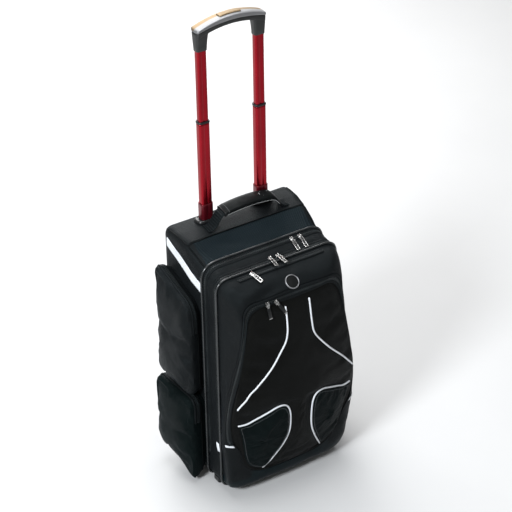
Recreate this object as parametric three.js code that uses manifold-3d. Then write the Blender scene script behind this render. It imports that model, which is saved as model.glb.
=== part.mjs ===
// Wheeled flight bag with a telescopic handle, standing on its wheels and front feet.
// Millimetres, +Z up, front of the bag towards -Y.
import * as THREE from 'three';
import { mergeVertices } from 'three/addons/utils/BufferGeometryUtils.js';
import Module from 'manifold-3d';

const wasm = await Module();
wasm.setup();

// Cloth and clearances
const GAP = 0.35;
const PADDED = 4;
const CLOTH = 2.4;
const PATCH = 1.8;
const TAPE = 1.4;
// Cutting blocks run this far past what they cut
const PAST = 20;

// Depths along Y: back panel, the two piping lines and the front pocket's crown
const BACK = 110;
const REAR_SEAM = -23.5;
const FRONT_SEAM = -74;
const FRONT_CROWN = -163;

// Padded shell: a row for each cross-section from the front rim to the back panel
const SHELL_SECTIONS = [
  { y: REAR_SEAM, half: 142.5, top: 529, bottom: 12, upper: 36, lower: 24 },
  { y: 4, half: 144, top: 541.5, bottom: 10, upper: 29, lower: 22 },
  { y: 34, half: 145.6, top: 554, bottom: 10, upper: 22, lower: 20 },
  { y: 64, half: 147.2, top: 558, bottom: 10, upper: 19, lower: 20 },
  { y: 97, half: 149, top: 559, bottom: 10, upper: 18, lower: 20 },
  { y: 106, half: 146, top: 556, bottom: 13, upper: 19, lower: 22 },
  { y: BACK, half: 137, top: 547, bottom: 22, upper: 22, lower: 24 },
];
const FRONT_SECTION = { y: FRONT_SEAM, half: 140.5, top: 516, bottom: 11, upper: 27, lower: 24 };
const SIDE_MID = 240;
const SIDE_REACH = 45;

// Rim of the front pocket, a shield that is widest at the middle of its sides
const RIM = { top: 470, bottom: 50, topHalf: 103, midHalf: 149, bottomHalf: 108, upper: 36, lower: 60 };
const RIM_CENTRE = 258;

// Bulge of the front pocket: a row for each level, crown and drop measured from Y = 0
const FACE_LEVELS = [
  { z: 50, crown: 121, drop: 6, half: 100 },
  { z: 100, crown: 146, drop: 24, half: 119 },
  { z: 160, crown: 160, drop: 32, half: 133 },
  { z: 240, crown: -FRONT_CROWN, drop: 26, half: 146 },
  { z: 320, crown: 159, drop: 19, half: 133 },
  { z: 400, crown: 152, drop: 14, half: 119 },
  { z: 470, crown: 142.5, drop: 12, half: 103 },
];
const FACE_RINGS = [1, 0.86, 0.66, 0.42, 0.18];
// Swell of the panel's side walls between the piping and the rim: out below, drawn in above
const SIDE_BELLY = [
  { z: 11, swell: 2 },
  { z: 80, swell: 14 },
  { z: 160, swell: 20 },
  { z: 240, swell: 10 },
  { z: 310, swell: 0 },
  { z: 400, swell: -8 },
  { z: 516, swell: -2 },
];
const BELLY_FROM = 100;
const BELLY_CURVE = 1.35;
// Roundness of the panel from its squarer lower edge up to its sides, and the steps along it
const ROUNDNESS = { lowZ: 20, highZ: 140, lower: 4, upper: 2 };
const PROFILE_STEPS = 24;
const PANEL_STEPS = [0, 0.3, 0.58, 0.8, 1];

// Zips in the gusset and round the front pocket
const ZIP_WIDTH = 16;
const POCKET_ZIP = 19;
const SLIP_ZIP = { start: 9, end: 21, shorter: 0.2 };

// White trim on the right half of the front pocket, outer edge last
const TRIM = { radius: 2, sides: 3, upperSteps: 14, lowerSteps: 22 };
const UPPER_TRIM = [
  { x: 28, z: 466 },
  { x: 28, z: 443 },
  { x: 29, z: 410 },
  { x: 33, z: 384 },
  { x: 43, z: 366 },
  { x: 73, z: 328 },
  { x: 109, z: 290 },
  { x: 141, z: 251 },
];
const LOWER_TRIM = [
  { x: 129, z: 205 },
  { x: 120, z: 203 },
  { x: 100, z: 212 },
  { x: 76, z: 222 },
  { x: 52, z: 232 },
  { x: 38, z: 230 },
  { x: 30.5, z: 214 },
  { x: 28.5, z: 190 },
  { x: 29, z: 165 },
  { x: 35, z: 138 },
  { x: 54, z: 98 },
  { x: 74, z: 64 },
];
// Rest of a corner pocket's outline, back up the rim
const CORNER_EDGE = [
  { x: 94, z: 72 },
  { x: 110, z: 90 },
  { x: 120, z: 125 },
  { x: 127, z: 165 },
];
const CORNER = { x: 78, z: 150, puff: 6, rings: [1, 0.72, 0.36] };

// Side pockets, left side: outline on the body and a row for each ring out from it
const SIDE_POCKETS = {
  upper: {
    back: 97, front: -13, backTop: 479, frontTop: 430, backBottom: 236, bottom: 228,
    sag: 1, swell: 1, frontReach: 28, crease: 350,
  },
  lower: {
    back: 97, front: -17, backTop: 211, frontTop: 207, backBottom: 60, bottom: 34,
    sag: 4, swell: 1.25, frontReach: 24, crease: 120,
  },
};
const POCKET_RINGS = [
  { out: 0, grow: 0, scale: 1, dent: 0 },
  { out: 10, grow: 4, scale: 1, dent: 0 },
  { out: 26, grow: 7, scale: 1, dent: 0 },
  { out: 33, grow: 0, scale: 1, dent: 3.5 },
  { out: 36, grow: 0, scale: 0.55, dent: 3.5 },
];
const POCKET_CORNER = { lower: 18, backTop: 16, backGrow: 0.5 };
const CREASE_WIDTH = 12;
// Share of a side pocket's wall that its zip tape covers, and the points of the ring it runs over
const POCKET_TAPE = { from: 0.1, to: 0.9, first: 6, end: 15 };

// Reflective band on each side: a row for each station along its lower edge
const BAND_RISES = [0, 12.6, 21];
const BAND_EDGE = [
  { y: 97, z: 519 },
  { y: 70, z: 506 },
  { y: 42, z: 492 },
  { y: 16, z: 477 },
  { y: -19, z: 465 },
];

// Piping loops, badge, feet and zip-end tabs
const PIPING = { radius: 2.5, sides: 5 };
const BADGE = { radius: 15, rim: 2.1, height: 3.2, edge: 2.2, dish: 1.9, along: 58, sides: 20 };
const FOOT = { x: 127, y: -39, width: 16, depth: 24, corner: 4, height: 11.2 };
const GUSSET_TAB = { y0: -71, y1: -58, z0: 98, z1: 120 };
const POCKET_TAB = { inset: 3, reach: 17, height: 7 };

// Zip pulls: slider place on its zip, and where the tip of its drop lies
const PULL = { length: 30, width: 7.6, bar: 1.8, thickness: 1.5 };
const SLIDER = { behind: 8, ahead: 2, width: 8.2, height: 3.9 };
const PULLS = [
  { name: 'main_1', x: 62, y: -38, z: 525.8, tipX: 58, tipY: -65, tipZ: 519 },
  { name: 'main_2', x: 82, y: -38, z: 525.8, tipX: 78, tipY: -65, tipZ: 519 },
  { name: 'front_1', x: -9, y: -67, z: 521.2, tipX: -14, tipY: -93, tipZ: 521.5 },
  { name: 'front_2', x: 10, y: -67, z: 520.9, tipX: 9, tipY: -93, tipZ: 521.2 },
  { name: 'slip', x: -66, y: -92, z: 517.3, tipX: -60, tipY: -117, tipZ: 509 },
  { name: 'pocket_1', x: -66, y: -138.2, z: 480, tipX: -64, tipY: -145.6, tipZ: 447 },
  { name: 'pocket_2', x: -46, y: -141.1, z: 480, tipX: -32, tipY: -148.6, tipZ: 450 },
];

// Carry handle on the top panel
const CARRY = { x: 11, y: 52, width: 26, thickness: 3 };
const WRAP = { half: 60, width: 32, height: 11, corner: 4.4 };
const CARRY_PATH = [
  { x: -96, lift: 0 },
  { x: -88, lift: 0 },
  { x: -79, lift: 5 },
  { x: -69, lift: 18 },
  { x: -59, lift: 28 },
  { x: -32, lift: 33 },
  { x: 0, lift: 34.5 },
];

// Telescopic handle: outside sizes of each stage, bottom and top ends
const HANDLE = { half: 65.7, y: 82.8, clearance: 0.3, hole: 0.6 };
const OUTER_TUBE = { width: 27.2, depth: 20.4, corner: 5.4, bottom: 40, top: 600 };
const MIDDLE_TUBE = { width: 24, depth: 17.4, corner: 4.6, bottom: 535, top: 779.5 };
const INNER_TUBE = { width: 20.6, depth: 14.2, corner: 3.6, bottom: 715, top: 952 };
const TUBE_WALL = 1.3;
const COLLAR = { width: 25.6, depth: 19, corner: 5.4, height: 4.5 };
const BEZEL = { width: 48, depth: 30, corner: 12, height: 6.5, seat: 559 };
const GRIP = { half: 79.5, end: 980, crown: 996, cover: 12, under: 6, depth: 28, bodyDepth: 25 };
const GRIP_SEGMENTS = 6;
const SOCKET_SECTIONS = [
  { z: 934.5, width: 23.6, depth: 17.2, corner: 4.6 },
  { z: 950, width: 25, depth: 19.8, corner: 5.4 },
  { z: 969, width: 27.4, depth: 23, corner: 6.4 },
];
const BUTTON = { half: 25, depth: 15, proud: 2.6, skirt: 7, room: 0.4 };

// Wheel and its housing in each lower back corner
const WHEEL = { x: 118, y: 92, z: 30, radius: 30, width: 22, bore: 4.4 };
const TYRE = { shoulder: 25, tread: 7, sides: 16 };
const HOUSING = { inner: 98, outer: 138, front: 51, back: 112, bottom: 6, top: 72 };
const WELL = { radius: 33.5, width: 24, sides: 20 };
const AXLE = { radius: 4, length: 36, sides: 12 };

const MATERIALS = {
  nylon: { color: 0x17181b, roughness: 0.72, metalness: 0 },
  vinyl: { color: 0x24262a, roughness: 0.4, metalness: 0 },
  zip: { color: 0x0c0c0d, roughness: 0.6, metalness: 0 },
  white: { color: 0xdfe1e2, roughness: 0.5, metalness: 0 },
  silver: { color: 0xc6c4bf, roughness: 0.3, metalness: 0.9 },
  red: { color: 0x8e1220, roughness: 0.3, metalness: 0.85 },
  plastic: { color: 0x2c2d30, roughness: 0.5, metalness: 0 },
  champagne: { color: 0xb59f7c, roughness: 0.35, metalness: 0.7 },
  rubber: { color: 0x121213, roughness: 0.85, metalness: 0 },
};

const bag = new THREE.Group();
const materials = Object.fromEntries(
  Object.entries(MATERIALS).map(([name, look]) => [name, new THREE.MeshStandardMaterial(look)]),
);

function add(name, geometry, material) {
  const mesh = new THREE.Mesh(tidy(geometry), materials[material]);
  mesh.name = name;
  bag.add(mesh);
  return mesh;
}

// Solid geometry with shared vertices and its faces pointing out
function tidy(source) {
  const plain = source.clone();
  plain.deleteAttribute('normal');
  plain.deleteAttribute('uv');
  const geometry = mergeVertices(plain, 1e-4);
  const { array } = geometry.attributes.position;
  const index = geometry.index.array;
  const corner = (k) => new THREE.Vector3().fromArray(array, 3 * index[k]);
  let volume = 0;
  for (let k = 0; k < index.length; k += 3) {
    volume += corner(k).dot(corner(k + 1).cross(corner(k + 2)));
  }
  if (volume < 0) {
    index.reverse();
  }
  geometry.computeVertexNormals();
  return geometry;
}

// Joining and cutting solids
function toSolid(source) {
  const geometry = tidy(source);
  return new wasm.Manifold(new wasm.Mesh({
    numProp: 3,
    vertProperties: new Float32Array(geometry.attributes.position.array),
    triVerts: new Uint32Array(geometry.index.array),
  }));
}

function toGeometry(solid) {
  const { vertProperties, triVerts } = solid.getMesh();
  const geometry = new THREE.BufferGeometry();
  geometry.setAttribute('position', new THREE.BufferAttribute(vertProperties, 3));
  geometry.setIndex(new THREE.BufferAttribute(triVerts, 1));
  return geometry;
}

function join(first, ...others) {
  return toGeometry(others.reduce((all, other) => all.add(toSolid(other)), toSolid(first)));
}

function cut(first, ...others) {
  return toGeometry(others.reduce((all, other) => all.subtract(toSolid(other)), toSolid(first)));
}

function block([x0, x1], [y0, y1], [z0, z1]) {
  const box = new THREE.BoxGeometry(x1 - x0, y1 - y0, z1 - z0);
  return box.translate((x0 + x1) / 2, (y0 + y1) / 2, (z0 + z1) / 2);
}

// Smooth value of one column of a table at a place between its rows
function column(rows, key, value, at) {
  const x = THREE.MathUtils.clamp(at, rows[0][key], rows.at(-1)[key]);
  const i = THREE.MathUtils.clamp(rows.findLastIndex((row) => row[key] <= x), 0, rows.length - 2);
  const slope = (k) => {
    const before = rows[Math.max(k - 1, 0)];
    const after = rows[Math.min(k + 1, rows.length - 1)];
    return (after[value] - before[value]) / (after[key] - before[key]);
  };
  const step = rows[i + 1][key] - rows[i][key];
  const t = (x - rows[i][key]) / step;
  const rise = t * t * (3 - 2 * t);
  return rows[i][value] * (1 - rise) + rows[i + 1][value] * rise
    + step * t * (1 - t) * ((1 - t) * slope(i) - t * slope(i + 1));
}

// Closed outline through soft corners, each with its rounded points and the points of the run after it
function softLoop(corners) {
  const points = [];
  corners.forEach((corner, i) => {
    const before = corners.at(i - 1);
    const after = corners[(i + 1) % corners.length];
    const here = new THREE.Vector2(corner.u, corner.v);
    const towards = (other, reach) => {
      const way = new THREE.Vector2(other.u, other.v).sub(here);
      return here.clone().add(way.setLength(reach));
    };
    const from = towards(before, corner.reach);
    const to = towards(after, corner.reach);
    points.push(...new THREE.QuadraticBezierCurve(from, here, to).getPoints(corner.steps));
    const back = new THREE.Vector2(after.u, after.v).sub(here);
    const end = new THREE.Vector2(after.u, after.v).sub(back.setLength(after.reach));
    const start = points.at(-1);
    for (let k = 1; k <= corner.run; k += 1) {
      points.push(start.clone().lerp(end, k / (corner.run + 1)));
    }
  });
  return points;
}

// Ring of the body in the XZ plane: up the left side, over the top, down the right side
function bodyRing({ top, bottom, half, topHalf = half, midHalf = half, bottomHalf = half, upper, lower }) {
  return softLoop([
    { u: -bottomHalf, v: bottom, reach: lower, steps: 4, run: 3 },
    { u: -midHalf, v: SIDE_MID, reach: SIDE_REACH, steps: 2, run: 2 },
    { u: -topHalf, v: top, reach: upper, steps: 4, run: 3 },
    { u: topHalf, v: top, reach: upper, steps: 4, run: 2 },
    { u: midHalf, v: SIDE_MID, reach: SIDE_REACH, steps: 2, run: 3 },
    { u: bottomHalf, v: bottom, reach: lower, steps: 4, run: 3 },
  ]);
}
// Places on that ring
const LEFT_SEAM = 5;
const LEFT_ZIP_END = 7;
const RIGHT_SEAM = 33;
const RIGHT_ZIP_END = 31;
const TOP_LEFT = 17;
const TOP_RIGHT = 21;

const flatRing = (section) => bodyRing(section).map((p) => new THREE.Vector3(p.x, section.y, p.y));

// Shell section at any depth, straight between the rows of the table
function shellSection(y) {
  const row = SHELL_SECTIONS.findLastIndex((section) => section.y <= y);
  const i = THREE.MathUtils.clamp(row, 0, SHELL_SECTIONS.length - 2);
  const [here, next] = [SHELL_SECTIONS[i], SHELL_SECTIONS[i + 1]];
  const t = THREE.MathUtils.clamp((y - here.y) / (next.y - here.y), 0, 1);
  const values = Object.keys(here).map((key) => [key, THREE.MathUtils.lerp(here[key], next[key], t)]);
  return Object.fromEntries(values);
}

// Half-width of the shell's side at a depth and height
function shellSide(y, z) {
  const side = bodyRing(shellSection(y)).slice(0, TOP_LEFT);
  const i = THREE.MathUtils.clamp(side.findLastIndex((p) => p.y <= z), 0, side.length - 2);
  const [low, high] = [side[i], side[i + 1]];
  return -THREE.MathUtils.lerp(low.x, high.x, (z - low.y) / (high.y - low.y));
}

// Grid of points moved along its normals, away from a point inside
function moved(grid, distance, inside, closed = false) {
  return grid.map((row, i) => row.map((p, j) => {
    const last = row.length - 1;
    const next = closed ? row[(j + 1) % row.length] : row[Math.min(j + 1, last)];
    const before = closed ? row.at(j - 1) : row[Math.max(j - 1, 0)];
    const along = grid[Math.min(i + 1, grid.length - 1)][j].clone().sub(grid[Math.max(i - 1, 0)][j]);
    const normal = next.clone().sub(before).cross(along).normalize();
    const facing = Math.sign(normal.dot(p.clone().sub(inside)));
    return p.clone().addScaledVector(normal, distance * facing);
  }));
}

function fromPoints(points, faces) {
  const geometry = new THREE.BufferGeometry();
  const numbers = points.flatMap((p) => p.toArray());
  geometry.setAttribute('position', new THREE.Float32BufferAttribute(numbers, 3));
  geometry.setIndex(faces);
  return geometry;
}

// Closed solid between two matching grids; mirrored, the facets of its far half mirror the near half's
function slab(outer, inner, { closed = false, capped = false, mirrored = false } = {}) {
  const rows = outer.length;
  const columns = outer[0].length;
  const points = [...outer.flat(), ...inner.flat()];
  const at = (side, i, j) => side * rows * columns + i * columns + (j % columns);
  const faces = [];
  const quad = (a, b, c, d) => faces.push(a, b, c, a, c, d);
  const spans = closed ? columns : columns - 1;
  for (let j = 0; j < spans; j += 1) {
    const turned = mirrored && j >= spans / 2;
    for (let i = 0; i < rows - 1; i += 1) {
      if (turned) {
        quad(at(0, i, j + 1), at(0, i + 1, j + 1), at(0, i + 1, j), at(0, i, j));
        quad(at(1, i + 1, j), at(1, i + 1, j + 1), at(1, i, j + 1), at(1, i, j));
      } else {
        quad(at(0, i, j), at(0, i, j + 1), at(0, i + 1, j + 1), at(0, i + 1, j));
        quad(at(1, i, j), at(1, i + 1, j), at(1, i + 1, j + 1), at(1, i, j + 1));
      }
    }
    quad(at(0, 0, j + 1), at(0, 0, j), at(1, 0, j), at(1, 0, j + 1));
    if (!capped) {
      quad(at(0, rows - 1, j), at(0, rows - 1, j + 1), at(1, rows - 1, j + 1), at(1, rows - 1, j));
    }
  }
  if (!closed) {
    const end = columns - 1;
    for (let i = 0; i < rows - 1; i += 1) {
      quad(at(0, i, 0), at(0, i + 1, 0), at(1, i + 1, 0), at(1, i, 0));
      quad(at(0, i + 1, end), at(0, i, end), at(1, i, end), at(1, i + 1, end));
    }
  }
  if (capped) {
    [outer, inner].forEach((grid, side) => {
      const middle = new THREE.Vector3();
      grid.at(-1).forEach((p) => middle.addScaledVector(p, 1 / columns));
      points.push(middle);
      for (let j = 0; j < columns; j += 1) {
        const pair = [at(side, rows - 1, j), at(side, rows - 1, j + 1)];
        faces.push(...(side ? pair.reverse() : pair), points.length - 1);
      }
    });
  }
  return fromPoints(points, faces);
}

// Wall of cloth whose outside is the grid; a second grid sets back the inside where edges are mitred
function wall(grid, thickness, inside, options = {}, mitred = grid) {
  return slab(grid, moved(mitred, -thickness, inside, options.closed), options);
}

// Strip of tape lying on the outside of a grid
function overlay(grid, thickness, inside, lift = GAP) {
  return slab(moved(grid, lift + thickness, inside), moved(grid, lift, inside));
}

// Tube round a flat closed ring
function loopTube(ring, { radius, sides }, centre) {
  const grid = ring.map((p, j) => {
    const along = ring[(j + 1) % ring.length].clone().sub(ring.at(j - 1));
    const depth = new THREE.Vector3(0, 1, 0);
    const out = along.clone().cross(depth).normalize();
    out.multiplyScalar(Math.sign(out.dot(p.clone().sub(centre))));
    return Array.from({ length: sides }, (_, k) => {
      const turn = (2 * Math.PI * k) / sides;
      return p.clone()
        .addScaledVector(out, radius + GAP + radius * Math.cos(turn))
        .addScaledVector(depth, radius * Math.sin(turn));
    });
  });
  const faces = [];
  grid.forEach((row, i) => row.forEach((_, j) => {
    const next = (i + 1) % grid.length;
    const beside = (j + 1) % sides;
    const [a, b] = [i * sides + j, i * sides + beside];
    const [c, d] = [next * sides + beside, next * sides + j];
    faces.push(a, b, c, a, c, d);
  }));
  return fromPoints(grid.flat(), faces);
}

// Round cord through a few points
function cord(points, { radius, sides }, steps) {
  const section = new THREE.Shape();
  section.absarc(0, 0, radius, 0, 2 * Math.PI);
  const extrudePath = new THREE.CatmullRomCurve3(points, false, 'centripetal');
  return new THREE.ExtrudeGeometry(section, { steps, extrudePath, curveSegments: sides });
}

// Turn and place a piece made with its length along +X and its top towards +Z
function place(mesh, origin, along, up) {
  const x = along.clone().normalize();
  const y = up.clone().cross(x).normalize();
  const z = x.clone().cross(y);
  mesh.quaternion.setFromRotationMatrix(new THREE.Matrix4().makeBasis(x, y, z));
  mesh.position.copy(origin);
}

const SIDES = [['left', -1], ['right', 1]];

// Main shell
const shellInside = new THREE.Vector3(0, 20, 270);
function tubeHole(side) {
  const halfX = OUTER_TUBE.width / 2 + HANDLE.hole;
  const halfY = OUTER_TUBE.depth / 2 + HANDLE.hole;
  const x = side * HANDLE.half;
  const span = [BEZEL.seat - 2 * PAST, BEZEL.seat + PAST];
  return block([x - halfX, x + halfX], [HANDLE.y - halfY, HANDLE.y + halfY], span);
}
function housingSpan(side, room = 0) {
  const edges = [side * (HOUSING.inner - room), side * (HOUSING.outer + room)];
  return edges.sort((a, b) => a - b);
}
function mainShell() {
  const grid = SHELL_SECTIONS.map(flatRing);
  const cuts = SIDES.flatMap(([, side]) => [
    tubeHole(side),
    block(housingSpan(side, GAP), [HOUSING.front - GAP, BACK + PAST], [-PAST, HOUSING.top + GAP]),
  ]);
  return cut(wall(grid, PADDED, shellInside, { closed: true, capped: true }), ...cuts);
}
add('main_shell', mainShell(), 'nylon');

// Gusset: rings between the rear and front piping, with the two zips let into it
const gussetInside = new THREE.Vector3(0, -48, 262);
const rearRing = flatRing(SHELL_SECTIONS[0]);
const frontRing = flatRing(FRONT_SECTION);
const gussetPoint = (j, y) => {
  const t = (y - REAR_SEAM) / (FRONT_SEAM - REAR_SEAM);
  return rearRing[j].clone().lerp(frontRing[j], t);
};
const zipped = (j) => j >= LEFT_SEAM && j <= RIGHT_SEAM;
const ringIndices = rearRing.map((_, j) => j);
const zipIndices = ringIndices.filter(zipped);
const GUSSET_ENDS = {
  main: [REAR_SEAM - GAP, REAR_SEAM - GAP - ZIP_WIDTH],
  front: [FRONT_SEAM + GAP + ZIP_WIDTH, FRONT_SEAM + GAP],
};
function gussetRow(zipEdge, plainEdge) {
  return ringIndices.map((j) => gussetPoint(j, zipped(j) ? zipEdge : plainEdge));
}
const gussetGrid = [
  gussetRow(GUSSET_ENDS.main[1] - GAP, REAR_SEAM - GAP),
  gussetRow(GUSSET_ENDS.front[0] + GAP, FRONT_SEAM + GAP),
];
// The zips stop short of the plain lower part
const zipRow = (y) => zipIndices.slice(1, -1).map((j) => gussetPoint(j, y));
add('gusset', wall(gussetGrid, CLOTH, gussetInside, { closed: true }), 'nylon');
for (const [name, [from, to]] of Object.entries(GUSSET_ENDS)) {
  add(`zip_${name}`, wall([zipRow(from), zipRow(to)], TAPE, gussetInside), 'zip');
}

// Piping loops standing on the two seams
add('piping_rear', loopTube(rearRing, PIPING, new THREE.Vector3(0, REAR_SEAM, 270)), 'vinyl');
add('piping_front', loopTube(frontRing, PIPING, new THREE.Vector3(0, FRONT_SEAM, 262)), 'vinyl');

// Front pocket face
function faceY(x, z) {
  const crown = column(FACE_LEVELS, 'z', 'crown', z);
  const drop = column(FACE_LEVELS, 'z', 'drop', z);
  const half = column(FACE_LEVELS, 'z', 'half', z);
  return -(crown - drop * (x / half) ** 2);
}
const onFace = (x, z, proud = 0) => new THREE.Vector3(x, faceY(x, z) - proud, z);
const rimLoop = bodyRing(RIM);
const rimRing = rimLoop.map((p) => onFace(p.x, p.y));
const faceInside = new THREE.Vector3(0, -40, RIM_CENTRE);
const faceGrid = (scales) => scales.map((scale) => rimLoop.map((p) => {
  const z = RIM_CENTRE + scale * (p.y - RIM_CENTRE);
  return onFace(scale * p.x, z);
}));
const mitredRings = [1 - CLOTH / RIM.bottomHalf, ...FACE_RINGS.slice(1)];
const DOME = { closed: true, capped: true };
const frontPocket = wall(faceGrid(FACE_RINGS), CLOTH, faceInside, DOME, faceGrid(mitredRings));
add('front_pocket', frontPocket, 'nylon');

// Front panel: from the front piping out and round to the pocket's rim, square at the bottom
function panelProfile(j) {
  const [base, rim] = [frontRing[j], rimRing[j]];
  const height = THREE.MathUtils.smoothstep(base.z, ROUNDNESS.lowZ, ROUNDNESS.highZ);
  const power = 2 / THREE.MathUtils.lerp(ROUNDNESS.lower, ROUNDNESS.upper, height);
  const onSide = THREE.MathUtils.smoothstep(Math.abs(base.x), BELLY_FROM, FRONT_SECTION.half);
  const belly = onSide * column(SIDE_BELLY, 'z', 'swell', base.z);
  const steps = Array.from({ length: PROFILE_STEPS + 1 }, (_, k) => {
    const turn = (k / PROFILE_STEPS) * (Math.PI / 2);
    const p = rim.clone().lerp(base, Math.cos(turn) ** power);
    p.y = THREE.MathUtils.lerp(base.y, rim.y, Math.sin(turn) ** power);
    p.x += Math.sign(base.x) * belly * Math.sin(2 * turn) ** BELLY_CURVE;
    return p;
  });
  return polyline(steps);
}
// Point at a distance along a run of points, from its start or, if negative, from its end
function polyline(points) {
  const lengths = [0];
  points.slice(1).forEach((p, k) => lengths.push(lengths[k] + p.distanceTo(points[k])));
  const total = lengths.at(-1);
  const at = (distance) => {
    const d = THREE.MathUtils.clamp(distance, 0, total);
    const k = THREE.MathUtils.clamp(lengths.findLastIndex((length) => length <= d), 0, points.length - 2);
    return points[k].clone().lerp(points[k + 1], (d - lengths[k]) / (lengths[k + 1] - lengths[k]));
  };
  return { total, at };
}
const profiles = ringIndices.map(panelProfile);
const pocketZipped = (j) => j >= LEFT_ZIP_END && j <= RIGHT_ZIP_END;
const panelEnd = (j) => profiles[j].total - (pocketZipped(j) ? POCKET_ZIP + 2 * GAP : GAP);
function panelGrid(indices, mitre = 0) {
  const grid = PANEL_STEPS.map((step) => indices.map((j) => (
    profiles[j].at(THREE.MathUtils.lerp(GAP, panelEnd(j) - mitre, step))
  )));
  // The ends of neighbouring pieces stand clear of their shared seam
  const clear = GAP + mitre;
  grid.forEach((row) => {
    row[0].lerp(row[1], clear / row[0].distanceTo(row[1]));
    row.at(-1).lerp(row.at(-2), clear / row.at(-1).distanceTo(row.at(-2)));
  });
  return grid;
}
const panelIndices = ringIndices.filter((j) => j >= LEFT_SEAM && j <= RIGHT_SEAM);
const randIndices = [
  ...ringIndices.filter((j) => j >= RIGHT_SEAM),
  ...ringIndices.filter((j) => j <= LEFT_SEAM),
];
for (const [name, indices, material] of [
  ['front_panel', panelIndices, 'nylon'],
  ['bottom_rand', randIndices, 'vinyl'],
]) {
  const walls = wall(panelGrid(indices), CLOTH, faceInside, { mirrored: true }, panelGrid(indices, CLOTH));
  add(name, walls, material);
}

// Front pocket zip, let in between the panel and the rim
const pocketZipIndices = ringIndices.filter(pocketZipped);
const pocketZipGrid = (mitre) => [POCKET_ZIP + GAP, POCKET_ZIP / 2, GAP + mitre].map((inset) => (
  pocketZipIndices.map((j) => profiles[j].at(profiles[j].total - inset))
));
add('zip_pocket', wall(pocketZipGrid(0), TAPE, faceInside, { mirrored: true }, pocketZipGrid(CLOTH)), 'zip');

// Slip-pocket zip on the top of the panel
const slipIndices = ringIndices.filter((j) => j >= TOP_LEFT && j <= TOP_RIGHT);
const slipGrid = [SLIP_ZIP.start, SLIP_ZIP.end].map((d) => slipIndices.map((j) => profiles[j].at(d)));
for (const row of slipGrid) {
  row[0].lerp(row[1], SLIP_ZIP.shorter);
  row.at(-1).lerp(row.at(-2), SLIP_ZIP.shorter);
}
add('zip_slip', overlay(slipGrid, TAPE, faceInside), 'zip');

// Corner pockets and white trim
for (const [name, side] of SIDES) {
  const edge = [...LOWER_TRIM, ...CORNER_EDGE];
  const patchGrid = CORNER.rings.map((scale) => edge.map((p) => {
    const x = CORNER.x + scale * (p.x - CORNER.x);
    const z = CORNER.z + scale * (p.z - CORNER.z);
    return onFace(side * x, z, 2 * GAP + CORNER.puff * (1 - scale ** 2));
  }));
  const outerGrid = patchGrid.map((row) => row.map((p) => p.clone().setY(p.y - PATCH)));
  add(`corner_pocket_${name}`, slab(outerGrid, patchGrid, DOME), 'nylon');

  const trimPoint = (p) => onFace(side * p.x, p.z, TRIM.radius + GAP);
  add(`trim_upper_${name}`, cord(UPPER_TRIM.map(trimPoint), TRIM, TRIM.upperSteps), 'white');
  const beside = LOWER_TRIM.map((p, k) => {
    const before = LOWER_TRIM[Math.max(k - 1, 0)];
    const after = LOWER_TRIM[Math.min(k + 1, LOWER_TRIM.length - 1)];
    const out = new THREE.Vector2(before.z - after.z, after.x - before.x);
    out.setLength(TRIM.radius + 4 * GAP);
    return trimPoint({ x: p.x - out.x, z: p.z - out.y });
  });
  add(`trim_lower_${name}`, cord(beside, TRIM, TRIM.lowerSteps), 'white');
}

// Side pockets with their zips, and the reflective bands above them
function sidePocketRing(spec, ring, side) {
  const { back, front, backTop, frontTop, backBottom, bottom, frontReach, crease } = spec;
  const { grow, scale } = ring;
  const out = ring.out * spec.swell;
  const low = bottom - grow * spec.sag;
  const far = back + grow * POCKET_CORNER.backGrow;
  const near = front - grow;
  const loop = softLoop([
    { u: far, v: backBottom, reach: POCKET_CORNER.lower, steps: 2, run: 3 },
    { u: far, v: backTop + grow, reach: POCKET_CORNER.backTop, steps: 2, run: 2 },
    { u: near, v: frontTop + grow, reach: frontReach, steps: 3, run: 3 },
    { u: near, v: low, reach: POCKET_CORNER.lower, steps: 2, run: 2 },
  ]);
  const middle = new THREE.Vector2((back + front) / 2, crease);
  return loop.map((p) => {
    const q = p.sub(middle).multiplyScalar(scale).add(middle);
    const dent = ring.dent * Math.exp(-(((q.y - crease) / CREASE_WIDTH) ** 2));
    const base = shellSide(q.x, THREE.MathUtils.lerp(crease, q.y, out ? 0.5 : 1));
    return new THREE.Vector3(side * (base + GAP + out - dent), q.x, q.y);
  });
}
for (const [name, side] of SIDES) {
  for (const [level, spec] of Object.entries(SIDE_POCKETS)) {
    const grid = POCKET_RINGS.map((ring) => sidePocketRing(spec, ring, side));
    const middle = (spec.back + spec.front) / 2;
    const inside = new THREE.Vector3(side * FRONT_SECTION.half, middle, spec.crease);
    add(`${level}_pocket_${name}`, wall(grid, CLOTH, inside, DOME), 'nylon');
    const { from, to, first, end } = POCKET_TAPE;
    const tape = [from, to].map((t) => (
      grid[1].map((p, j) => p.clone().lerp(grid[2][j], t)).slice(first, end)
    ));
    add(`zip_${level}_${name}`, overlay(tape, TAPE, inside), 'zip');
  }
  const bandGrid = BAND_RISES.map((rise) => BAND_EDGE.map(({ y, z }) => (
    new THREE.Vector3(side * shellSide(y, z + rise), y, z + rise)
  )));
  add(`band_${name}`, overlay(bandGrid, TAPE, shellInside, 2 * GAP), 'white');
}

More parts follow.
